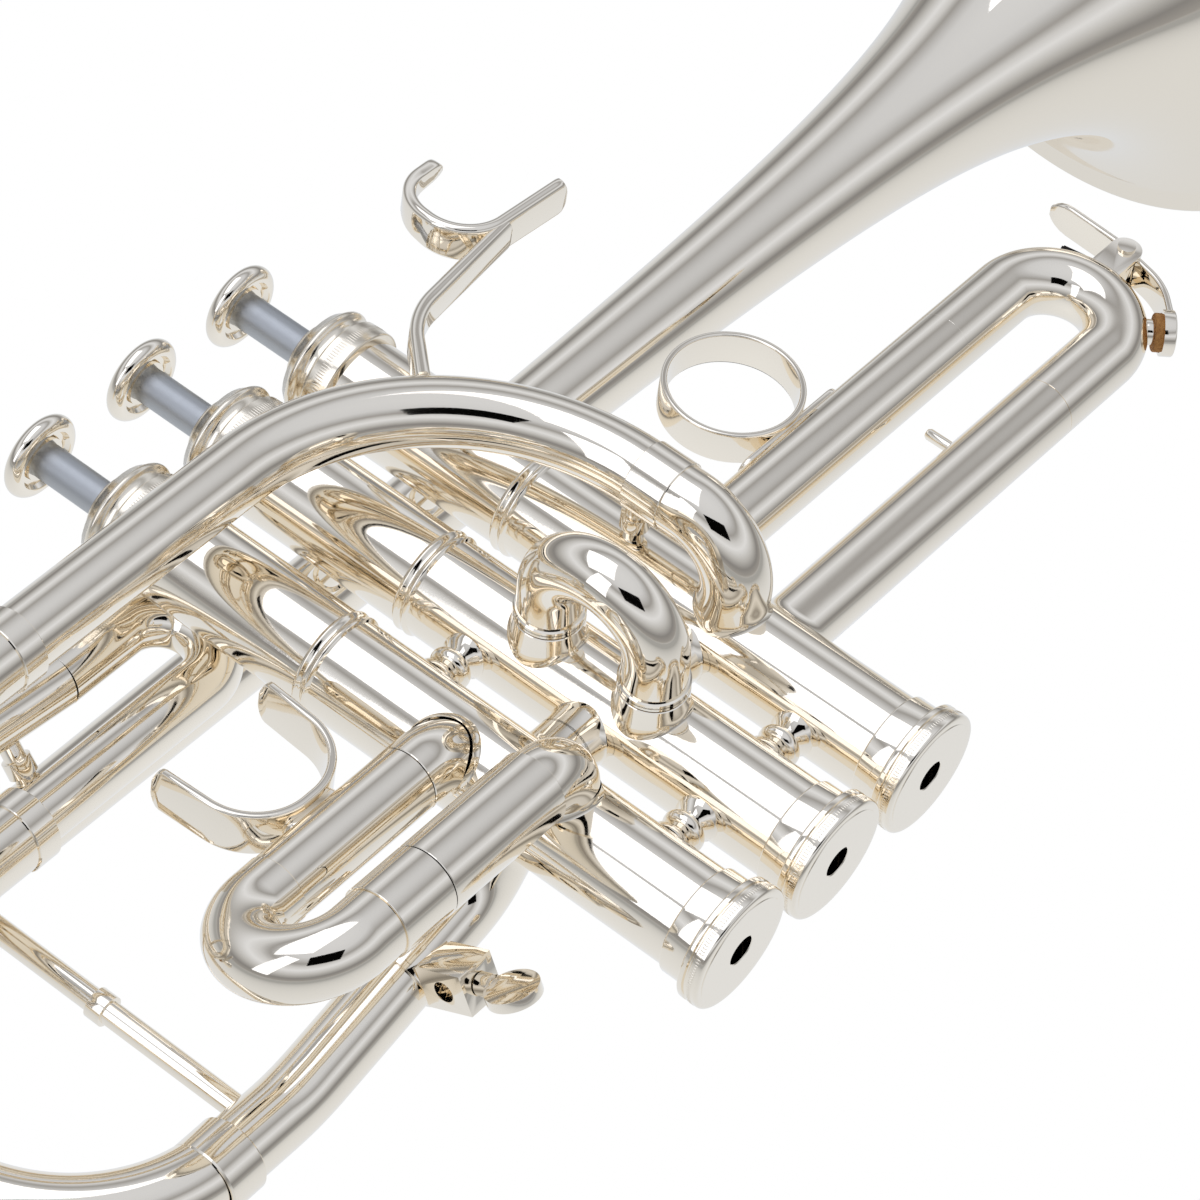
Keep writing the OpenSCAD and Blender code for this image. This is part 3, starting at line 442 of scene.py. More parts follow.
for i, x in enumerate(VALVE_X):
    outline = [(VENT_R, CASING_Y0), (VENT_R, 0.15), (VENT_R + 0.15, 0), (CAP_R - 1.6, 0),
               (CAP_R - 1.5, 0.12), (CAP_R - 0.75, 0.12)] + arc(CAP_R - 0.75, 0.8, 0.68, -90, 0, 5) \
        + [(CAP_R - 0.07, 2.5), (CAP_R - 0.45, 2.75), (CAP_R - 0.45, 3.0), (CAP_R - 0.05, 3.2)] \
        + arc(CAP_R - 0.4, 3.9, 0.35, 0, 90, 4) \
        + [(CASING_R + 0.5, 4.25), (CASING_R + 0.5, CASING_Y0), (VENT_R, CASING_Y0)]
    piece(f"bottom_cap_turned_{i + 1}", [lathe(outline, (x, 0, 0), Y, 128)], SILVER, "horn",
          f"bottom_cap_{i + 1}", sharp=35)
    milled_rim(f"bottom_cap_milling_{i + 1}", (x, 1.7, 0), CAP_R - 0.24, RIDGES, 1.7, SATIN_SILVER)

# ---- Top caps ----
# Turned caps over the valves' upper ends, with two milled bands and a raised crown round the stem. Only the
# lower band gets ridges; the upper one is drawn as a plain rounded bead.
TOP_R = 10.7
TOP_L = 11.7
TOP_RIDGES = 120
STEM_R = 3.35
for i, x in enumerate(VALVE_X):
    low = BLOCK_H - TOP_L
    outline = [(CASING_R, low), (TOP_R - 0.5, low)] + arc(TOP_R - 0.5, low + 0.5, 0.5, -90, 0, 4) \
        + [(TOP_R, low + 4.4), (TOP_R - 0.8, low + 5), (TOP_R - 0.8, low + 6)] \
        + arc(TOP_R - 0.6, low + 7.4, 0.8, -70, 70, 6) + [(TOP_R - 1.3, BLOCK_H - 2.2)] \
        + [(7.2, BLOCK_H - 1.2), (6.2, BLOCK_H - 0.5)] + arc(5.6, BLOCK_H - 0.6, 0.6, 0, 90, 4) \
        + [(STEM_R + 0.15, BLOCK_H), (STEM_R + 0.15, CASING_Y1), (CASING_R, CASING_Y1), (CASING_R, low)]
    piece(f"top_cap_turned_{i + 1}", [lathe(outline, (x, 0, 0), Y)], SATIN_SILVER, "horn",
          f"top_cap_{i + 1}")
    milled_rim(f"top_cap_milling_{i + 1}", (x, low + 2.4, 0), TOP_R - 0.16, TOP_RIDGES, 3.2, SATIN_SILVER)

# ---- Pistons, springs and felts ----
# Lapped nickel alloy pistons, drawn steel springs and pressed wool washers, nearly all out of sight.
LAP_MM = 0.3
NICKEL, tree, shader, place = new_material("lapped_nickel_alloy")
shader.inputs["Base Color"].default_value = linear("#CFCAC0")
shader.inputs["Metallic"].default_value = 1
shader.inputs["Roughness"].default_value = 0.22
lap = node(tree, "ShaderNodeTexNoise", {"Vector": place, "Scale": 1000 / LAP_MM})
tree.links.new(node(tree, "ShaderNodeBump", {"Height": lap.outputs[0], "Strength": 0.1,
                                             "Distance": 0.00005}).outputs[0], shader.inputs["Normal"])

WIRE, tree, shader, place = new_material("drawn_spring_steel")
shader.inputs["Base Color"].default_value = linear("#2E2A26")
shader.inputs["Metallic"].default_value = 1
drawn = node(tree, "ShaderNodeTexNoise", {"Vector": place, "Scale": 1000 / LAP_MM})
spread = node(tree, "ShaderNodeMapRange", {"Value": drawn.outputs[0], "To Min": 0.18, "To Max": 0.35})
tree.links.new(spread.outputs[0], shader.inputs["Roughness"])

FIBRE_MM = 0.4
FELT, tree, shader, place = new_material("pressed_wool_felt")
fibre = node(tree, "ShaderNodeTexNoise", {"Vector": place, "Scale": 1000 / FIBRE_MM, "Detail": 4})
tint = node(tree, "ShaderNodeMixRGB", {0: fibre.outputs[0], 1: linear("#CFC8B8"), 2: linear("#EFEAE0")})
tree.links.new(tint.outputs[0], shader.inputs["Base Color"])
shader.inputs["Roughness"].default_value = 0.95
tree.links.new(node(tree, "ShaderNodeBump", {"Height": fibre.outputs[0], "Strength": 0.6,
                                             "Distance": 0.0003}).outputs[0], shader.inputs["Normal"])


def eased(name, body, material, width=0.25):
    """A copy of a CAD node as one skin, with its edges eased as they are after buffing."""
    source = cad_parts[name]
    work = bmesh.new()
    work.from_mesh(source.data)
    bmesh.ops.remove_doubles(work, verts=work.verts, dist=2e-6)
    bmesh.ops.dissolve_limit(work, angle_limit=math.radians(1.5), verts=work.verts, edges=work.edges)
    mesh = bpy.data.meshes.new(name + "_eased")
    work.to_mesh(mesh)
    work.free()
    mesh.materials.clear()
    mesh.materials.append(material)
    copy = bpy.data.objects.new(name + "_eased", mesh)
    bpy.context.scene.collection.objects.link(copy)
    if width:
        bevel = copy.modifiers.new("eased_edges", "BEVEL")
        bevel.width, bevel.segments, bevel.limit_method = width * MM, 3, "ANGLE"
        bevel.angle_limit = math.radians(40)
        graph = bpy.context.evaluated_depsgraph_get()
        done = bpy.data.meshes.new_from_object(copy.evaluated_get(graph), depsgraph=graph)
        copy.modifiers.clear()
        copy.data = done
    copy.data.polygons.foreach_set("use_smooth", [True] * len(copy.data.polygons))
    copy.data.set_sharp_from_angle(angle=math.radians(35))
    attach(copy, body)
    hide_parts(name)
    return copy


for i in (1, 2, 3):
    eased(f"piston_{i}", f"valve_{i}", NICKEL, 0)
    eased(f"valve_felt_{i}", f"valve_{i}", FELT, 0.25)

TRAVEL = 14
SPRING_FOOT, SPRING_TOP, SPRING_R, SPRING_WIRE_R, SPRING_TURNS = 1.5, 30, 5.8, 0.45, 7


def coil_tree():
    """Geometry Nodes: a wire wound into an open coil, which rises along z."""
    tree = bpy.data.node_groups.new("wound_spring", "GeometryNodeTree")
    tree.interface.new_socket("Geometry", in_out="INPUT", socket_type="NodeSocketGeometry")
    for label, kind in (("Turns", "NodeSocketFloat"), ("Radius", "NodeSocketFloat"),
                        ("Length", "NodeSocketFloat"), ("Wire", "NodeSocketFloat"),
                        ("Finish", "NodeSocketMaterial")):
        tree.interface.new_socket(label, in_out="INPUT", socket_type=kind)
    tree.interface.new_socket("Geometry", in_out="OUTPUT", socket_type="NodeSocketGeometry")
    given = node(tree, "NodeGroupInput").outputs
    spiral = node(tree, "GeometryNodeCurveSpiral", {"Resolution": 36, "Rotations": given["Turns"],
                                                    "Start Radius": given["Radius"],
                                                    "End Radius": given["Radius"],
                                                    "Height": given["Length"]})
    wire = node(tree, "GeometryNodeCurvePrimitiveCircle", {"Resolution": 12, "Radius": given["Wire"]})
    drawn = node(tree, "GeometryNodeCurveToMesh", {"Curve": spiral.outputs[0],
                                                   "Profile Curve": wire.outputs[0], "Fill Caps": True})
    real = node(tree, "GeometryNodeRealizeInstances", {0: drawn.outputs[0]})
    smooth = node(tree, "GeometryNodeSetShadeSmooth", {0: real.outputs[0]})
    dressed = node(tree, "GeometryNodeSetMaterial", {"Geometry": smooth.outputs[0],
                                                     "Material": given["Finish"]})
    node(tree, "NodeGroupOutput", {0: dressed.outputs[0]})
    return tree


WOUND_SPRING = coil_tree()
for i, x in enumerate(VALVE_X):
    spring = grown(f"spring_{i + 1}", WOUND_SPRING, {
        "Turns": SPRING_TURNS, "Radius": SPRING_R * MM, "Wire": SPRING_WIRE_R * MM,
        "Length": (SPRING_TOP - SPRING_FOOT - 2 * SPRING_WIRE_R - 0.1) * MM, "Finish": WIRE},
        (x, SPRING_FOOT + SPRING_WIRE_R + 0.05, 0))
    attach(spring, "horn")
    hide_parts(f"valve_spring_{i + 1}")
    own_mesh(spring)

# ---- Stems and buttons ----
# Satin grey metal rods screwed into the pistons, with a button of plated brass on each: a rolled
# edge, a dished top and a hollow underside.
STEM, tree, shader, place = new_material("satin_grey_metal")
shader.inputs["Base Color"].default_value = linear("#B9BABA")
shader.inputs["Metallic"].default_value = 1
grain = node(tree, "ShaderNodeTexNoise", {"Vector": node(tree, "ShaderNodeMapping", {
    "Vector": place, "Scale": (400, 4000, 400)}).outputs[0], "Scale": 1.0})
spread = node(tree, "ShaderNodeMapRange", {"Value": grain.outputs[0], "To Min": 0.38, "To Max": 0.5})
tree.links.new(spread.outputs[0], shader.inputs["Roughness"])

STEM_Y, COLLAR_Y, COLLAR_R, COLLAR_H = 98, BLOCK_H - 7.3, 7, 1.6
BUTTON_R = 8.2
BUTTON_Y = BLOCK_H + TRAVEL + 0.3
for i, x in enumerate(VALVE_X):
    rod = [(0, STEM_Y), (STEM_R, STEM_Y), (STEM_R, COLLAR_Y), (COLLAR_R, COLLAR_Y),
           (COLLAR_R, COLLAR_Y + COLLAR_H), (STEM_R, COLLAR_Y + COLLAR_H), (STEM_R, BUTTON_Y + 1),
           (0, BUTTON_Y + 1)]
    piece(f"stem_{i + 1}", [lathe(rod, (x, 0, 0), Y, 64)], STEM, f"valve_{i + 1}", f"valve_stem_{i + 1}",
          slot="stem")
    edge = arc(BUTTON_R - 1.75, BUTTON_Y + 1.8, 1.75, -110, 100, 18)
    outline = [(STEM_R, BUTTON_Y + 2.2), (STEM_R, BUTTON_Y + 0.6), (STEM_R + 0.9, BUTTON_Y + 0.5),
               (STEM_R + 1.1, BUTTON_Y + 1.3), (BUTTON_R - 2.9, BUTTON_Y + 1.2)] + edge \
        + [(BUTTON_R - 3.2, BUTTON_Y + 3.3), (BUTTON_R - 5, BUTTON_Y + 3.1), (0.01, BUTTON_Y + 3.05),
           (0.01, BUTTON_Y + 2.2), (STEM_R, BUTTON_Y + 2.2)]
    piece(f"button_{i + 1}", [lathe(outline, (x, 0, 0), Y)], SILVER, f"valve_{i + 1}",
          f"finger_button_{i + 1}")

# ---- Entry tube, its ferrule and the elbow into the third valve ----
# Drawn tube bent on a former. A ferrule covers the joint, and a fillet of solder runs round the
# elbow's foot.
ENTRY_Y, ENTRY_Z, ENTRY_R = 114.6, 24, 6.2
WALL = 0.55
CURVE_R, ELBOW_R, ELBOW_Y = 48.5, 12, 44
FERRULE_Y = 60
SLEEVE_X0, SLEEVE_X1 = -80, -104
PORT_R = 5.2
FILLET = 0.7
third_x = VALVE_X[2]
piece("entry_bend", [tube([(SLEEVE_X0, ENTRY_Y, ENTRY_Z), (third_x, ENTRY_Y, ENTRY_Z),
                           (third_x, FERRULE_Y, ENTRY_Z)], [0, CURVE_R, 0], ENTRY_R, ENTRY_R - WALL)],
      SILVER, "horn", "entry_tube")
piece("entry_knuckle", [
    tube([(third_x, ELBOW_Y, 0), (third_x, ELBOW_Y, ENTRY_Z), (third_x, FERRULE_Y, ENTRY_Z)],
         [0, ELBOW_R, 0], ENTRY_R, PORT_R, seat=(third_x, CASING_R), flare=FILLET),
    tube([(third_x, FERRULE_Y - 1.5, ENTRY_Z), (third_x, FERRULE_Y + 6, ENTRY_Z)], [0, 0], ENTRY_R + 0.35,
         ENTRY_R - 0.1)], SILVER, "horn", "entry_elbow")

# ---- Leadpipe, its bow, the return tube, receiver and tuning sleeves ----
# The tapered leadpipe is drawn thin and turned back in a tight bow left of the first valve.
LEAD_R, LEAD_Z = 5.25, -17
LEAD_Y, RETURN_Y = 127.75, 109.25
LEAD_BOW_X, LEAD_START_X = -34, -50
lead_bow_r = (LEAD_Y - RETURN_Y) / 2
lead_start = Vector((LEAD_START_X, LEAD_Y, LEAD_Z))
lead_end = Vector((-112, LEAD_Y + 4.5, LEAD_Z))
lead_dir = (lead_end - lead_start).normalized()
piece("leadpipe_drawn", [tube([lead_start, lead_end], [0, 0], LEAD_R, LEAD_R - WALL, lip=0.02)], SILVER,
      "horn", "leadpipe")
tip_x = LEAD_BOW_X + lead_bow_r
piece("leadpipe_bend", [tube([(LEAD_START_X, LEAD_Y, LEAD_Z), (tip_x, LEAD_Y, LEAD_Z),
                              (tip_x, RETURN_Y, LEAD_Z), (LEAD_START_X, RETURN_Y, LEAD_Z)],
                             [0, lead_bow_r, lead_bow_r, 0], LEAD_R, LEAD_R - WALL, lip=0.02)], SILVER,
      "horn", "leadpipe_bow")
piece("return_leg", [tube([(LEAD_START_X, RETURN_Y, LEAD_Z), (SLEEVE_X0, RETURN_Y, LEAD_Z)], [0, 0], LEAD_R,
                          LEAD_R - WALL, lip=0.02)], SILVER, "horn", "return_tube")

RECEIVER_L, SHANK_R = 28, 4.6
outline = [(LEAD_R, 0), (LEAD_R + 0.5, 0.1)] + [(LEAD_R + 0.8, 0.7), (LEAD_R + 1.1, 12),
           (LEAD_R + 1.45, RECEIVER_L - 5.2)] + arc(LEAD_R + 1.6, RECEIVER_L - 3.9, 0.65, -80, 80, 6) \
    + [(LEAD_R + 1.7, RECEIVER_L - 2.9)] + arc(LEAD_R + 1.6, RECEIVER_L - 1.5, 0.65, -80, 80, 6) \
    + [(LEAD_R + 1.3, RECEIVER_L), (SHANK_R, RECEIVER_L), (SHANK_R, 6), (LEAD_R, 6), (LEAD_R, 0)]
piece("receiver_turned", [lathe(outline, lead_end - lead_dir * 6, lead_dir)], SILVER, "horn", "receiver")

SLEEVE_R, INNER_R, GAP = 6.2, 5.6, 0.05
sleeves = []
for y, z, neck in ((ENTRY_Y, ENTRY_Z, ENTRY_R), (RETURN_Y, LEAD_Z, LEAD_R)):
    for x0, x1, outer, inner in ((SLEEVE_X1, SLEEVE_X0, SLEEVE_R + 0.3, INNER_R + GAP),
                                 (SLEEVE_X1, SLEEVE_X1 + 2, SLEEVE_R + 0.7, SLEEVE_R + 0.2),
                                 (SLEEVE_X0 - 1, SLEEVE_X0 + 4, SLEEVE_R + 0.7, neck - 0.05)):
        sleeves.append(tube([(x0, y, z), (x1, y, z)], [0, 0], outer, inner))
piece("tuning_sleeve_pair", sleeves, SILVER, "horn", "tuning_sleeves")

# ---- Mouthpiece ----
# Turned from one bar: tapered shank, a bead, the cup's flared body and a broad rounded rim.
RIM_R, MOUTH_L, SEATED = 13, 46, 20
rim = arc(RIM_R - 2, MOUTH_L - 2, 2, 0, 150, 14)
outline = [(2, -SEATED), (SHANK_R - 0.1, -SEATED), (SHANK_R, 0), (SHANK_R + 0.3, 8), (SHANK_R + 0.8, 16),
           (SHANK_R + 1.4, 20.5)] + arc(SHANK_R + 1.6, 23, 1.2, -90, 90, 8) \
    + [(SHANK_R + 2.4, 26), (SHANK_R + 4.4, 30), (RIM_R - 2.9, 34), (RIM_R - 2.0, MOUTH_L - 7),
       (RIM_R - 1.0, MOUTH_L - 4), (RIM_R - 0.15, MOUTH_L - 2.6)] + rim \
    + [(8.0, MOUTH_L - 2.2), (7.2, MOUTH_L - 5), (5.6, MOUTH_L - 8.6), (3.2, MOUTH_L - 11.6),
       (2.0, MOUTH_L - 13.2), (2, -SEATED)]
piece("mouthpiece_turned", [lathe(outline, lead_end + lead_dir * (RECEIVER_L - 6), lead_dir, 128)], SILVER,
      "horn", "mouthpiece")

# ---- First slide ----
# A fixed inner tube above and a fixed sleeve below. The moving part is drawn from the same tube,
# with ferrules at its bow.
UP, LOW = (59, 7), (39, 16)
first_x = VALVE_X[0]
UP_JOINT, LOW_JOINT = first_x - 15.6, first_x - 10
SLEEVE_END, FERRULE_END, FIRST_BOW_X, LOW_R = -62, -74, -78.6, 6.8
bow_r = math.dist(UP, LOW) / 2
piece("first_knuckle_pair", [
    tube([(first_x, LOW[0], 0), (first_x, *LOW), (LOW_JOINT, *LOW)], [0, 8, 0], SLEEVE_R, PORT_R,
         seat=(first_x, CASING_R), flare=FILLET),
    tube([(LOW_JOINT + 1.2, *LOW), (SLEEVE_END, *LOW)], [0, 0], LOW_R, INNER_R + GAP, lip=0.12),
    tube([(first_x, UP[0], 0), (first_x - 8, *UP), (UP_JOINT, *UP)], [0, 12, 0], SLEEVE_R, PORT_R,
         seat=(first_x, CASING_R), flare=FILLET),
    tube([(UP_JOINT, *UP), (FERRULE_END + 2, *UP)], [0, 0], INNER_R, PORT_R)],
    SILVER, "horn", "first_knuckles")


def bow_path(a, b, start_x, bow_x, radius, side):
    """Corners of a U: legs from start_x at a and b, round a bow that starts at bow_x."""
    far = bow_x + side * radius
    return [(start_x, *a), (far, *a), (far, *b), (start_x, *b)]


piece("first_slide_drawn", [
    tube([(UP_JOINT - 0.2, *UP), (FERRULE_END, *UP)], [0, 0], SLEEVE_R, INNER_R + GAP, lip=0.12),
    tube(bow_path(UP, LOW, FERRULE_END, FIRST_BOW_X, bow_r, -1), [0, bow_r, bow_r, 0],
         SLEEVE_R + 0.2, PORT_R, lip=0.12),
    tube([(SLEEVE_END - 0.2, *LOW), (FERRULE_END, *LOW)], [0, 0], LOW_R, INNER_R, lip=0.12),
    tube([(LOW_JOINT - 2, *LOW), (FERRULE_END, *LOW)], [0, 0], INNER_R, PORT_R)],
    SILVER, "first_slide_unit", "first_slide")

# ---- Thumb saddle ----
# A strip of plated brass bent into an open U and soldered to the first slide by a small foot.
SADDLE_X = -58.5


def rounding(distance, reach):
    """How wide a strip is near a rounded end, as a share of its width."""
    return math.sqrt(max(0.1, 1 - (1 - distance / reach) ** 2)) if distance < reach else 1


def ribbon(path, bends, thick, width, edge=0.35, ends=(0.5, 0.5), taper=1.0, taper_length=22):
    """A flat strip with eased edges and rounded ends, bent in a plane of constant z."""
    reach = max(ends)
    line = along(stations([Vector(p) for p in path], bends),
                 [reach * k for k in (0.04, 0.15, 0.35, 0.65, 1)])
    a, b = thick / 2, width / 2
    section = [(sx * (a - edge) + edge * math.cos(t), sy * (b - edge) + edge * math.sin(t))
               for sx, sy, first in ((1, 1, 0), (-1, 1, 90), (-1, -1, 180), (1, -1, 270))
               for t in (math.radians(first + 22.5 * k) for k in range(5))]
    rows = []
    for i, ((point, _), (s, t)) in enumerate(zip(line, ring_frames(line, Z))):
        gone = min(1, (point - line[0][0]).length / taper_length)
        wide = taper + (1 - taper) * gone * gone * (3 - 2 * gone)
        wide *= rounding((point - line[0][0]).length, ends[0])
        wide *= rounding((point - line[-1][0]).length, ends[1])
        thin = 0.75 if i in (0, len(line) - 1) else 1
        rows.append([point + s * u * thin + t * v * wide for u, v in section])
    points, faces = skin(rows)
    count = len(section)
    faces.append(tuple(range(count - 1, -1, -1)))
    faces.append(tuple(range(len(points) - count, len(points))))
    return points, faces


saddle_y = UP[0] + SLEEVE_R + 0.7
saddle = [(SADDLE_X - 13, saddle_y + 22, UP[1]), (SADDLE_X - 12, saddle_y, UP[1]),
          (SADDLE_X + 12, saddle_y, UP[1]), (SADDLE_X + 13.5, saddle_y + 22, UP[1])]
piece("saddle_strip", [ribbon(saddle, [0, 11.5, 11.5, 0], 1.5, 9.5, 0.5, (2.0, 2.0)),
                       ribbon([(SADDLE_X - 6, saddle_y - 1.2, UP[1]), (SADDLE_X + 6, saddle_y - 1.2, UP[1])],
                              [0, 0], 2.4, 5, 0.6, (1.5, 1.5))],
      SILVER, "first_slide_unit", "thumb_saddle")

# ---- Second slide ----
# A short slide that leans back a little from the middle valve, with a round bow and soldered collars.
LEAN = math.radians(7)
SECOND_Y = (62.5, 40)
SECOND_R, STUB, STRAIGHT = 5.75, 14, 21.5
second_inner = SECOND_R - WALL
second_dir = Vector((-math.sin(LEAN), 0, math.cos(LEAN)))
second_bow_r = (SECOND_Y[0] - SECOND_Y[1]) / 2
stubs, collars = [], []
for y in SECOND_Y:
    base = Vector((0, y, 0))
    stubs.append(tube([base, base + second_dir * STUB], [0, 0], SECOND_R + 0.5, second_inner - 0.4,
                      seat=(0, CASING_R), flare=FILLET))
    stubs.append(tube([base + second_dir * STUB, base + second_dir * (STRAIGHT - 0.5)], [0, 0],
                      second_inner, second_inner - 0.4))
    collars.append(tube([base + second_dir * (STUB + 0.2), base + second_dir * (STUB + 2.2)], [0, 0],
                        SECOND_R + 0.5, SECOND_R - 0.1, lip=0.3))
piece("second_stub_pair", stubs, SILVER, "horn", "second_stubs")
start = [Vector((0, y, 0)) + second_dir * (STUB + 0.2) for y in SECOND_Y]
top = [Vector((0, y, 0)) + second_dir * (STRAIGHT + second_bow_r) for y in SECOND_Y]
second_bow = tube([start[0], top[0], top[1], start[1]], [0, second_bow_r, second_bow_r, 0],
                  SECOND_R, second_inner + GAP)
piece("second_slide_drawn", [second_bow] + collars, SILVER, "second_slide_unit", "second_slide")

# ---- Third slide and its ring ----
# The long slide: fixed inner tube above, fixed sleeve below with a small stop post, and a finger
# ring soldered on the moving upper leg.
THIRD_UP, THIRD_LOW = 59.7, 37
THIRD_JOINT, THIRD_BOW_X = third_x + 11, third_x + 102.5
THIRD_FERRULE = THIRD_BOW_X - 18.5
third_bow_r = (THIRD_UP - THIRD_LOW) / 2
post = [(1.1, 5.6), (1.1, 10.9), (0.8, 11.4), (0, 11.6)]
piece("third_leg_pair", [
    tube([(third_x, THIRD_UP, 0), (THIRD_JOINT, THIRD_UP, 0)], [0, 0], SLEEVE_R, PORT_R,
         seat=(third_x, CASING_R), flare=FILLET),
    tube([(THIRD_JOINT, THIRD_UP, 0), (THIRD_FERRULE - 4, THIRD_UP, 0)], [0, 0], INNER_R, PORT_R),
    tube([(third_x, THIRD_LOW, 0), (THIRD_FERRULE, THIRD_LOW, 0)], [0, 0], SLEEVE_R, INNER_R + GAP,
         seat=(third_x, CASING_R), flare=FILLET),
    lathe([(0, 5.6)] + post, (THIRD_FERRULE - 20, THIRD_LOW, 0), Y, 24)],
    SILVER, "horn", "third_legs")
piece("third_slide_drawn", [
    tube([(THIRD_JOINT + 0.2, THIRD_UP, 0), (THIRD_FERRULE, THIRD_UP, 0)], [0, 0], SLEEVE_R, INNER_R + GAP,
         lip=0.02),
    tube(bow_path((THIRD_UP, 0), (THIRD_LOW, 0), THIRD_FERRULE, THIRD_BOW_X, third_bow_r, 1),
         [0, third_bow_r, third_bow_r, 0], SLEEVE_R, PORT_R, lip=0.04),
    tube([(THIRD_JOINT + 3, THIRD_LOW, 0), (THIRD_FERRULE + 0.2, THIRD_LOW, 0)], [0, 0], INNER_R, PORT_R)],
    SILVER, "third_slide_unit", "third_slide")

RING_R, RING_W, RING_FOOT = 13.1, 7, 14
ring_x, ring_y = THIRD_JOINT + 34.8, THIRD_UP + SLEEVE_R + RING_R - 0.3
inner_r, half = RING_R - 1.2, RING_W / 2
outline = [(inner_r + 0.15, -half)] + arc(RING_R - 0.45, -half + 0.45, 0.45, -90, 0, 4) \
    + arc(RING_R - 0.45, half - 0.45, 0.45, 0, 90, 4) + arc(inner_r + 0.4, half - 0.4, 0.4, 90, 180, 4) \
    + arc(inner_r + 0.4, -half + 0.4, 0.4, 180, 270, 4) + [(inner_r + 0.15, -half)]
foot_y = THIRD_UP + SLEEVE_R - 0.1
piece("ring_and_foot", [lathe(outline, (ring_x, ring_y, 0), Z, 128),
                        ribbon([(ring_x - RING_FOOT, foot_y, 0), (ring_x + RING_FOOT, foot_y, 0)],
                               [0, 0], 1.3, 5, 0.5, (2.5, 2.5))],
      SILVER, "third_slide_unit", "finger_ring")

# ---- Main tuning slide ----
# A wide bow between the sleeves of the entry tube and of the return tube, with a brace across it.
TUNING_X0, TUNING_BOW_X = SLEEVE_X1 - 0.2, -108
ends = [(ENTRY_Y, ENTRY_Z), (RETURN_Y, LEAD_Z)]
tuning_r = math.dist(*ends) / 2
tuning = [tube(bow_path(ends[0], ends[1], TUNING_X0, TUNING_BOW_X, tuning_r, -1),
               [0, tuning_r, tuning_r, 0], SLEEVE_R, PORT_R)]
for y, z in ends:
    tuning.append(tube([(TUNING_X0, y, z), (SLEEVE_X0 - 3, y, z)], [0, 0], INNER_R, PORT_R))
    tuning.append(tube([(TUNING_X0 - 3, y, z), (TUNING_X0, y, z)], [0, 0],
                       SLEEVE_R + 0.7, SLEEVE_R - 0.1, lip=0.3))


def brace(a, b, radius):
    """A turned brace: slim rod, a bead in the middle and flared feet."""
    a, b = Vector(a), Vector(b)
    reach = (b - a).length
    outline = [(0, 0), (radius + 1, 0), (radius + 0.5, 0.8), (radius, 1.8)]
    middle_bead = arc(radius - 0.5, reach / 2, 1.7, -70, 70, 10)
    return lathe(outline + middle_bead + [(r, reach - d) for r, d in reversed(outline)], a, b - a, 48)


across = Vector((0, ends[1][0] - ends[0][0], ends[1][1] - ends[0][1])).normalized()
top_foot = Vector((TUNING_BOW_X + 2, *ends[0])) + across * (SLEEVE_R - 0.3)
low_foot = Vector((TUNING_BOW_X + 2, *ends[1])) - across * (SLEEVE_R - 0.3)
tuning.append(brace(top_foot, low_foot, 1.6))
piece("tuning_slide_drawn", tuning, SILVER, "tuning_slide_unit", "tuning_slide")

# ---- Bell tail, crook and bell ----
# The bell is spun from sheet over a mandrel and its rim is rolled round a wire. The crook and tail
# are drawn tube.
TAIL_Y, TAIL_R, CROOK_R = 46, 6.3, 6.7
BELL_Y, BELL_Z, BELL_X0, CROOK_X = 116.8, -31, -95, -97
BELL_D, BELL_L, BELL_FLARE, THROAT_R, BELL_WALL, BEAD_R = 119, 350, 50, 5.7, 0.8, 1.2
tail_path = [(first_x, TAIL_Y, 0), (first_x - 10, TAIL_Y, -15.5), (SLEEVE_X0, TAIL_Y, BELL_Z),
             (BELL_X0, TAIL_Y, BELL_Z)]
piece("bell_tail_bent", [tube(tail_path, [0, 14, 30, 0], TAIL_R, TAIL_R - WALL, seat=(first_x, CASING_R),
                              flare=FILLET)], SILVER, "horn", "bell_tail")
crook_bow = (BELL_Y - TAIL_Y) / 2
crook = [tube(bow_path((TAIL_Y, BELL_Z), (BELL_Y, BELL_Z), BELL_X0, CROOK_X, crook_bow, -1),
              [0, crook_bow, crook_bow, 0], CROOK_R, TAIL_R - 0.2)]
for y in (TAIL_Y, BELL_Y):
    crook.append(tube([(CROOK_X - 6, y, BELL_Z), (BELL_X0, y, BELL_Z)], [0, 0], CROOK_R + 0.5, CROOK_R - 0.1,
                      lip=0.3))
piece("bell_crook_bent", crook, SILVER, "horn", "bell_crook")


def bell_radius(s):
    """Outer radius of the bell at a distance s from its mouth."""
    return THROAT_R + (BELL_D / 2 - THROAT_R) * (BELL_FLARE / (s + BELL_FLARE)) ** 2


spots = [BELL_L * (k / 90) ** 1.8 for k in range(91)]
spots = [s for s in spots if s > 1.6]
slopes = {s: 2 * (bell_radius(s) - THROAT_R) / (s + BELL_FLARE) for s in spots}
outer = [(bell_radius(s), s) for s in reversed(spots)]
inner = [(bell_radius(s) - BELL_WALL * math.sqrt(1 + slopes[s] ** 2), s) for s in spots]
bead = arc(BELL_D / 2 - BEAD_R, BEAD_R, BEAD_R, 70, -200, 20)
outline = outer + bead + inner
piece("bell_spun", [lathe(outline + outline[:1], (BELL_X0 + BELL_L, BELL_Y, BELL_Z), -X, 160)],
      SILVER, "horn", "bell", sharp=60)

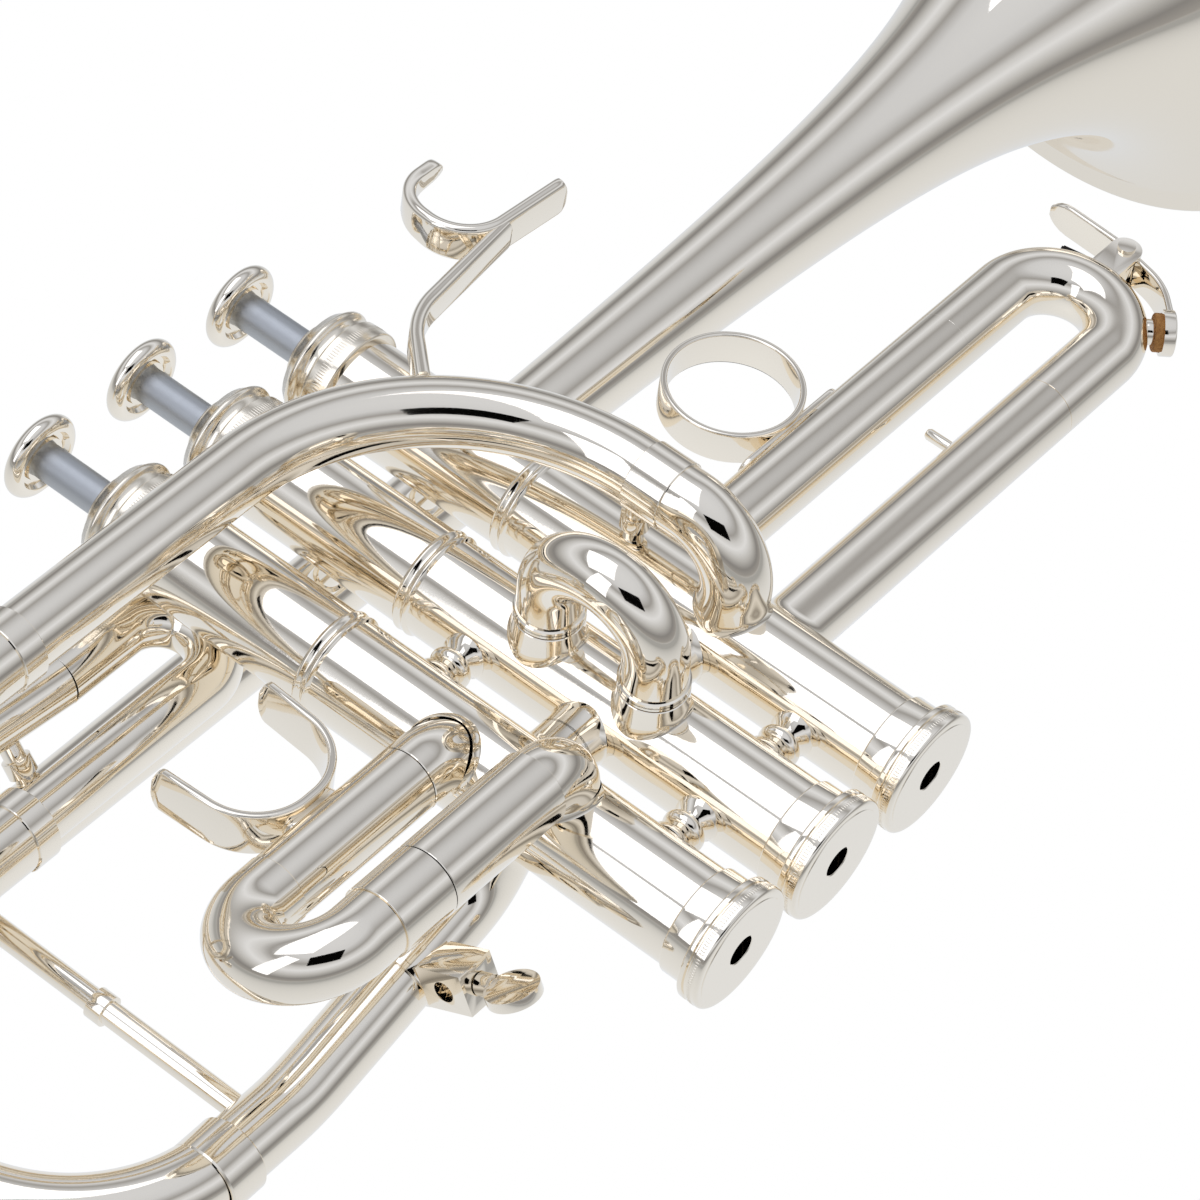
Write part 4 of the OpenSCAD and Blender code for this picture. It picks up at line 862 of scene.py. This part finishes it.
# ---- Finger hook ----
# A strip bent into a hook for the little finger, on a bent stem that is soldered to the entry tube.
hook = [(58.5, 139, ENTRY_Z), (46, 138.8, ENTRY_Z), (43.5, 120.8, ENTRY_Z), (69, 119, ENTRY_Z)]
stem = [(14.6, 105.5, ENTRY_Z), (25, 116.5, ENTRY_Z), (54, 119.6, ENTRY_Z)]
piece("hook_strip", [ribbon(hook, [0, 8.5, 9, 0], 2.4, 8, 1.1, (2.5, 1.2), 0.5),
                     ribbon(stem, [0, 16, 0], 2.6, 7, 1.2)], SILVER, "horn", "finger_hook")

# ---- Lyre holder, braces and water key saddles ----
# Small turned and sawn parts, soldered on before plating. Buffing has eased all their edges, also
# those of the thumbscrew that clamps the lyre.
for name, body in (("lyre_holder", "horn"), ("lyre_screw", "lyre_clamp_screw"), ("braces", "horn"),
                   ("third_key_saddle", "third_slide_unit"), ("tuning_key_saddle", "tuning_slide_unit")):
    eased(name, body, SILVER, 0.15)

# ---- Water key levers ----
# Each is a forged and filed lever on a steel pin: a spoon for the thumb, a barrel round the pin, and
# a curved arm to the round cup that holds the cork.
KEY_HALF, KEY_LIFT, KEY_ARM, CORK_R, PIN_R, BARREL_R = 3, 4.6, 15.3, 3.6, 0.85, 2


def key_lever(name, body, centre, ahead, up, bow_radius):
    """A lever drawn from the centre of its bow, which points ahead and up as given."""
    out = bow_radius + SLEEVE_R
    angle = -KEY_ARM / out
    side = ahead.cross(up)

    def ring_point(radius, turn):
        return Vector((radius * math.cos(turn), radius * math.sin(turn), 0))

    hinge = out + KEY_LIFT
    arm = [(hinge + 2.6, 18, 0), (hinge + 1.7, 3, 0), tuple(ring_point(out + 5.4, angle / 2)),
           tuple(ring_point(out + 4.3, angle * 1.1))]
    cup_out = ring_point(1, angle)
    cup = [(0, 4.7), (CORK_R + 0.4, 4.7)] + arc(CORK_R + 0.4, 4.4, 0.3, 90, 0, 3) \
        + [(CORK_R + 0.7, 2.4), (CORK_R + 0.05, 2.3), (CORK_R, 3.4), (0, 3.4)]
    barrel = [(PIN_R, -KEY_HALF), (BARREL_R - 0.2, -KEY_HALF), (BARREL_R, -KEY_HALF + 0.2),
              (BARREL_R, KEY_HALF - 0.2), (BARREL_R - 0.2, KEY_HALF), (PIN_R, KEY_HALF),
              (PIN_R, -KEY_HALF)]
    shapes = [ribbon(arm, [0, 9, 14, 0], 1.3, 2 * KEY_HALF + 0.8, 0.5, (4.5, 2.5)),
              lathe(cup, cup_out * out, cup_out, 48), lathe(barrel, (hinge, 0, 0), Z, 48)]
    turned_shapes = [([Vector(centre) + ahead * q.x + up * q.y + side * q.z for q in points], faces)
                     for points, faces in shapes]
    piece(name + "_forged", turned_shapes, SILVER, body, name)


key_lever("third_key_lever", "third_water_key", (THIRD_BOW_X, (THIRD_UP + THIRD_LOW) / 2, 0), X, Y,
          third_bow_r)
key_lever("tuning_key_lever", "tuning_water_key",
          (TUNING_BOW_X, (ENTRY_Y + RETURN_Y) / 2, (ENTRY_Z + LEAD_Z) / 2), -X, -across, tuning_r)

# ---- Corks and wire springs of the water keys ----
# Discs of natural cork, brown with dark pores, seal the two drain holes. A bent steel wire holds
# each one shut.
PORE_MM = 0.7
CORK, tree, shader, place = new_material("cut_cork")
pore = node(tree, "ShaderNodeTexVoronoi", {"Vector": place, "Scale": 1000 / PORE_MM})
grain = node(tree, "ShaderNodeTexNoise", {"Vector": place, "Scale": 1000 / (2 * PORE_MM), "Detail": 4})
amount = node(tree, "ShaderNodeMath", {0: pore.outputs[0], 1: grain.outputs[0]}, operation="MULTIPLY")
tint = node(tree, "ShaderNodeMixRGB", {0: amount.outputs[0], 1: linear("#94602A"), 2: linear("#D29C58")})
tree.links.new(tint.outputs[0], shader.inputs["Base Color"])
shader.inputs["Roughness"].default_value = 0.85
tree.links.new(node(tree, "ShaderNodeBump", {"Height": amount.outputs[0], "Strength": 0.5,
                                             "Distance": 0.0002}).outputs[0], shader.inputs["Normal"])
for key in ("third", "tuning"):
    eased(f"{key}_key_cork", f"{key}_water_key", CORK, 0.3)
    eased(f"{key}_key_spring", f"{key}_slide_unit", WIRE, 0.1)
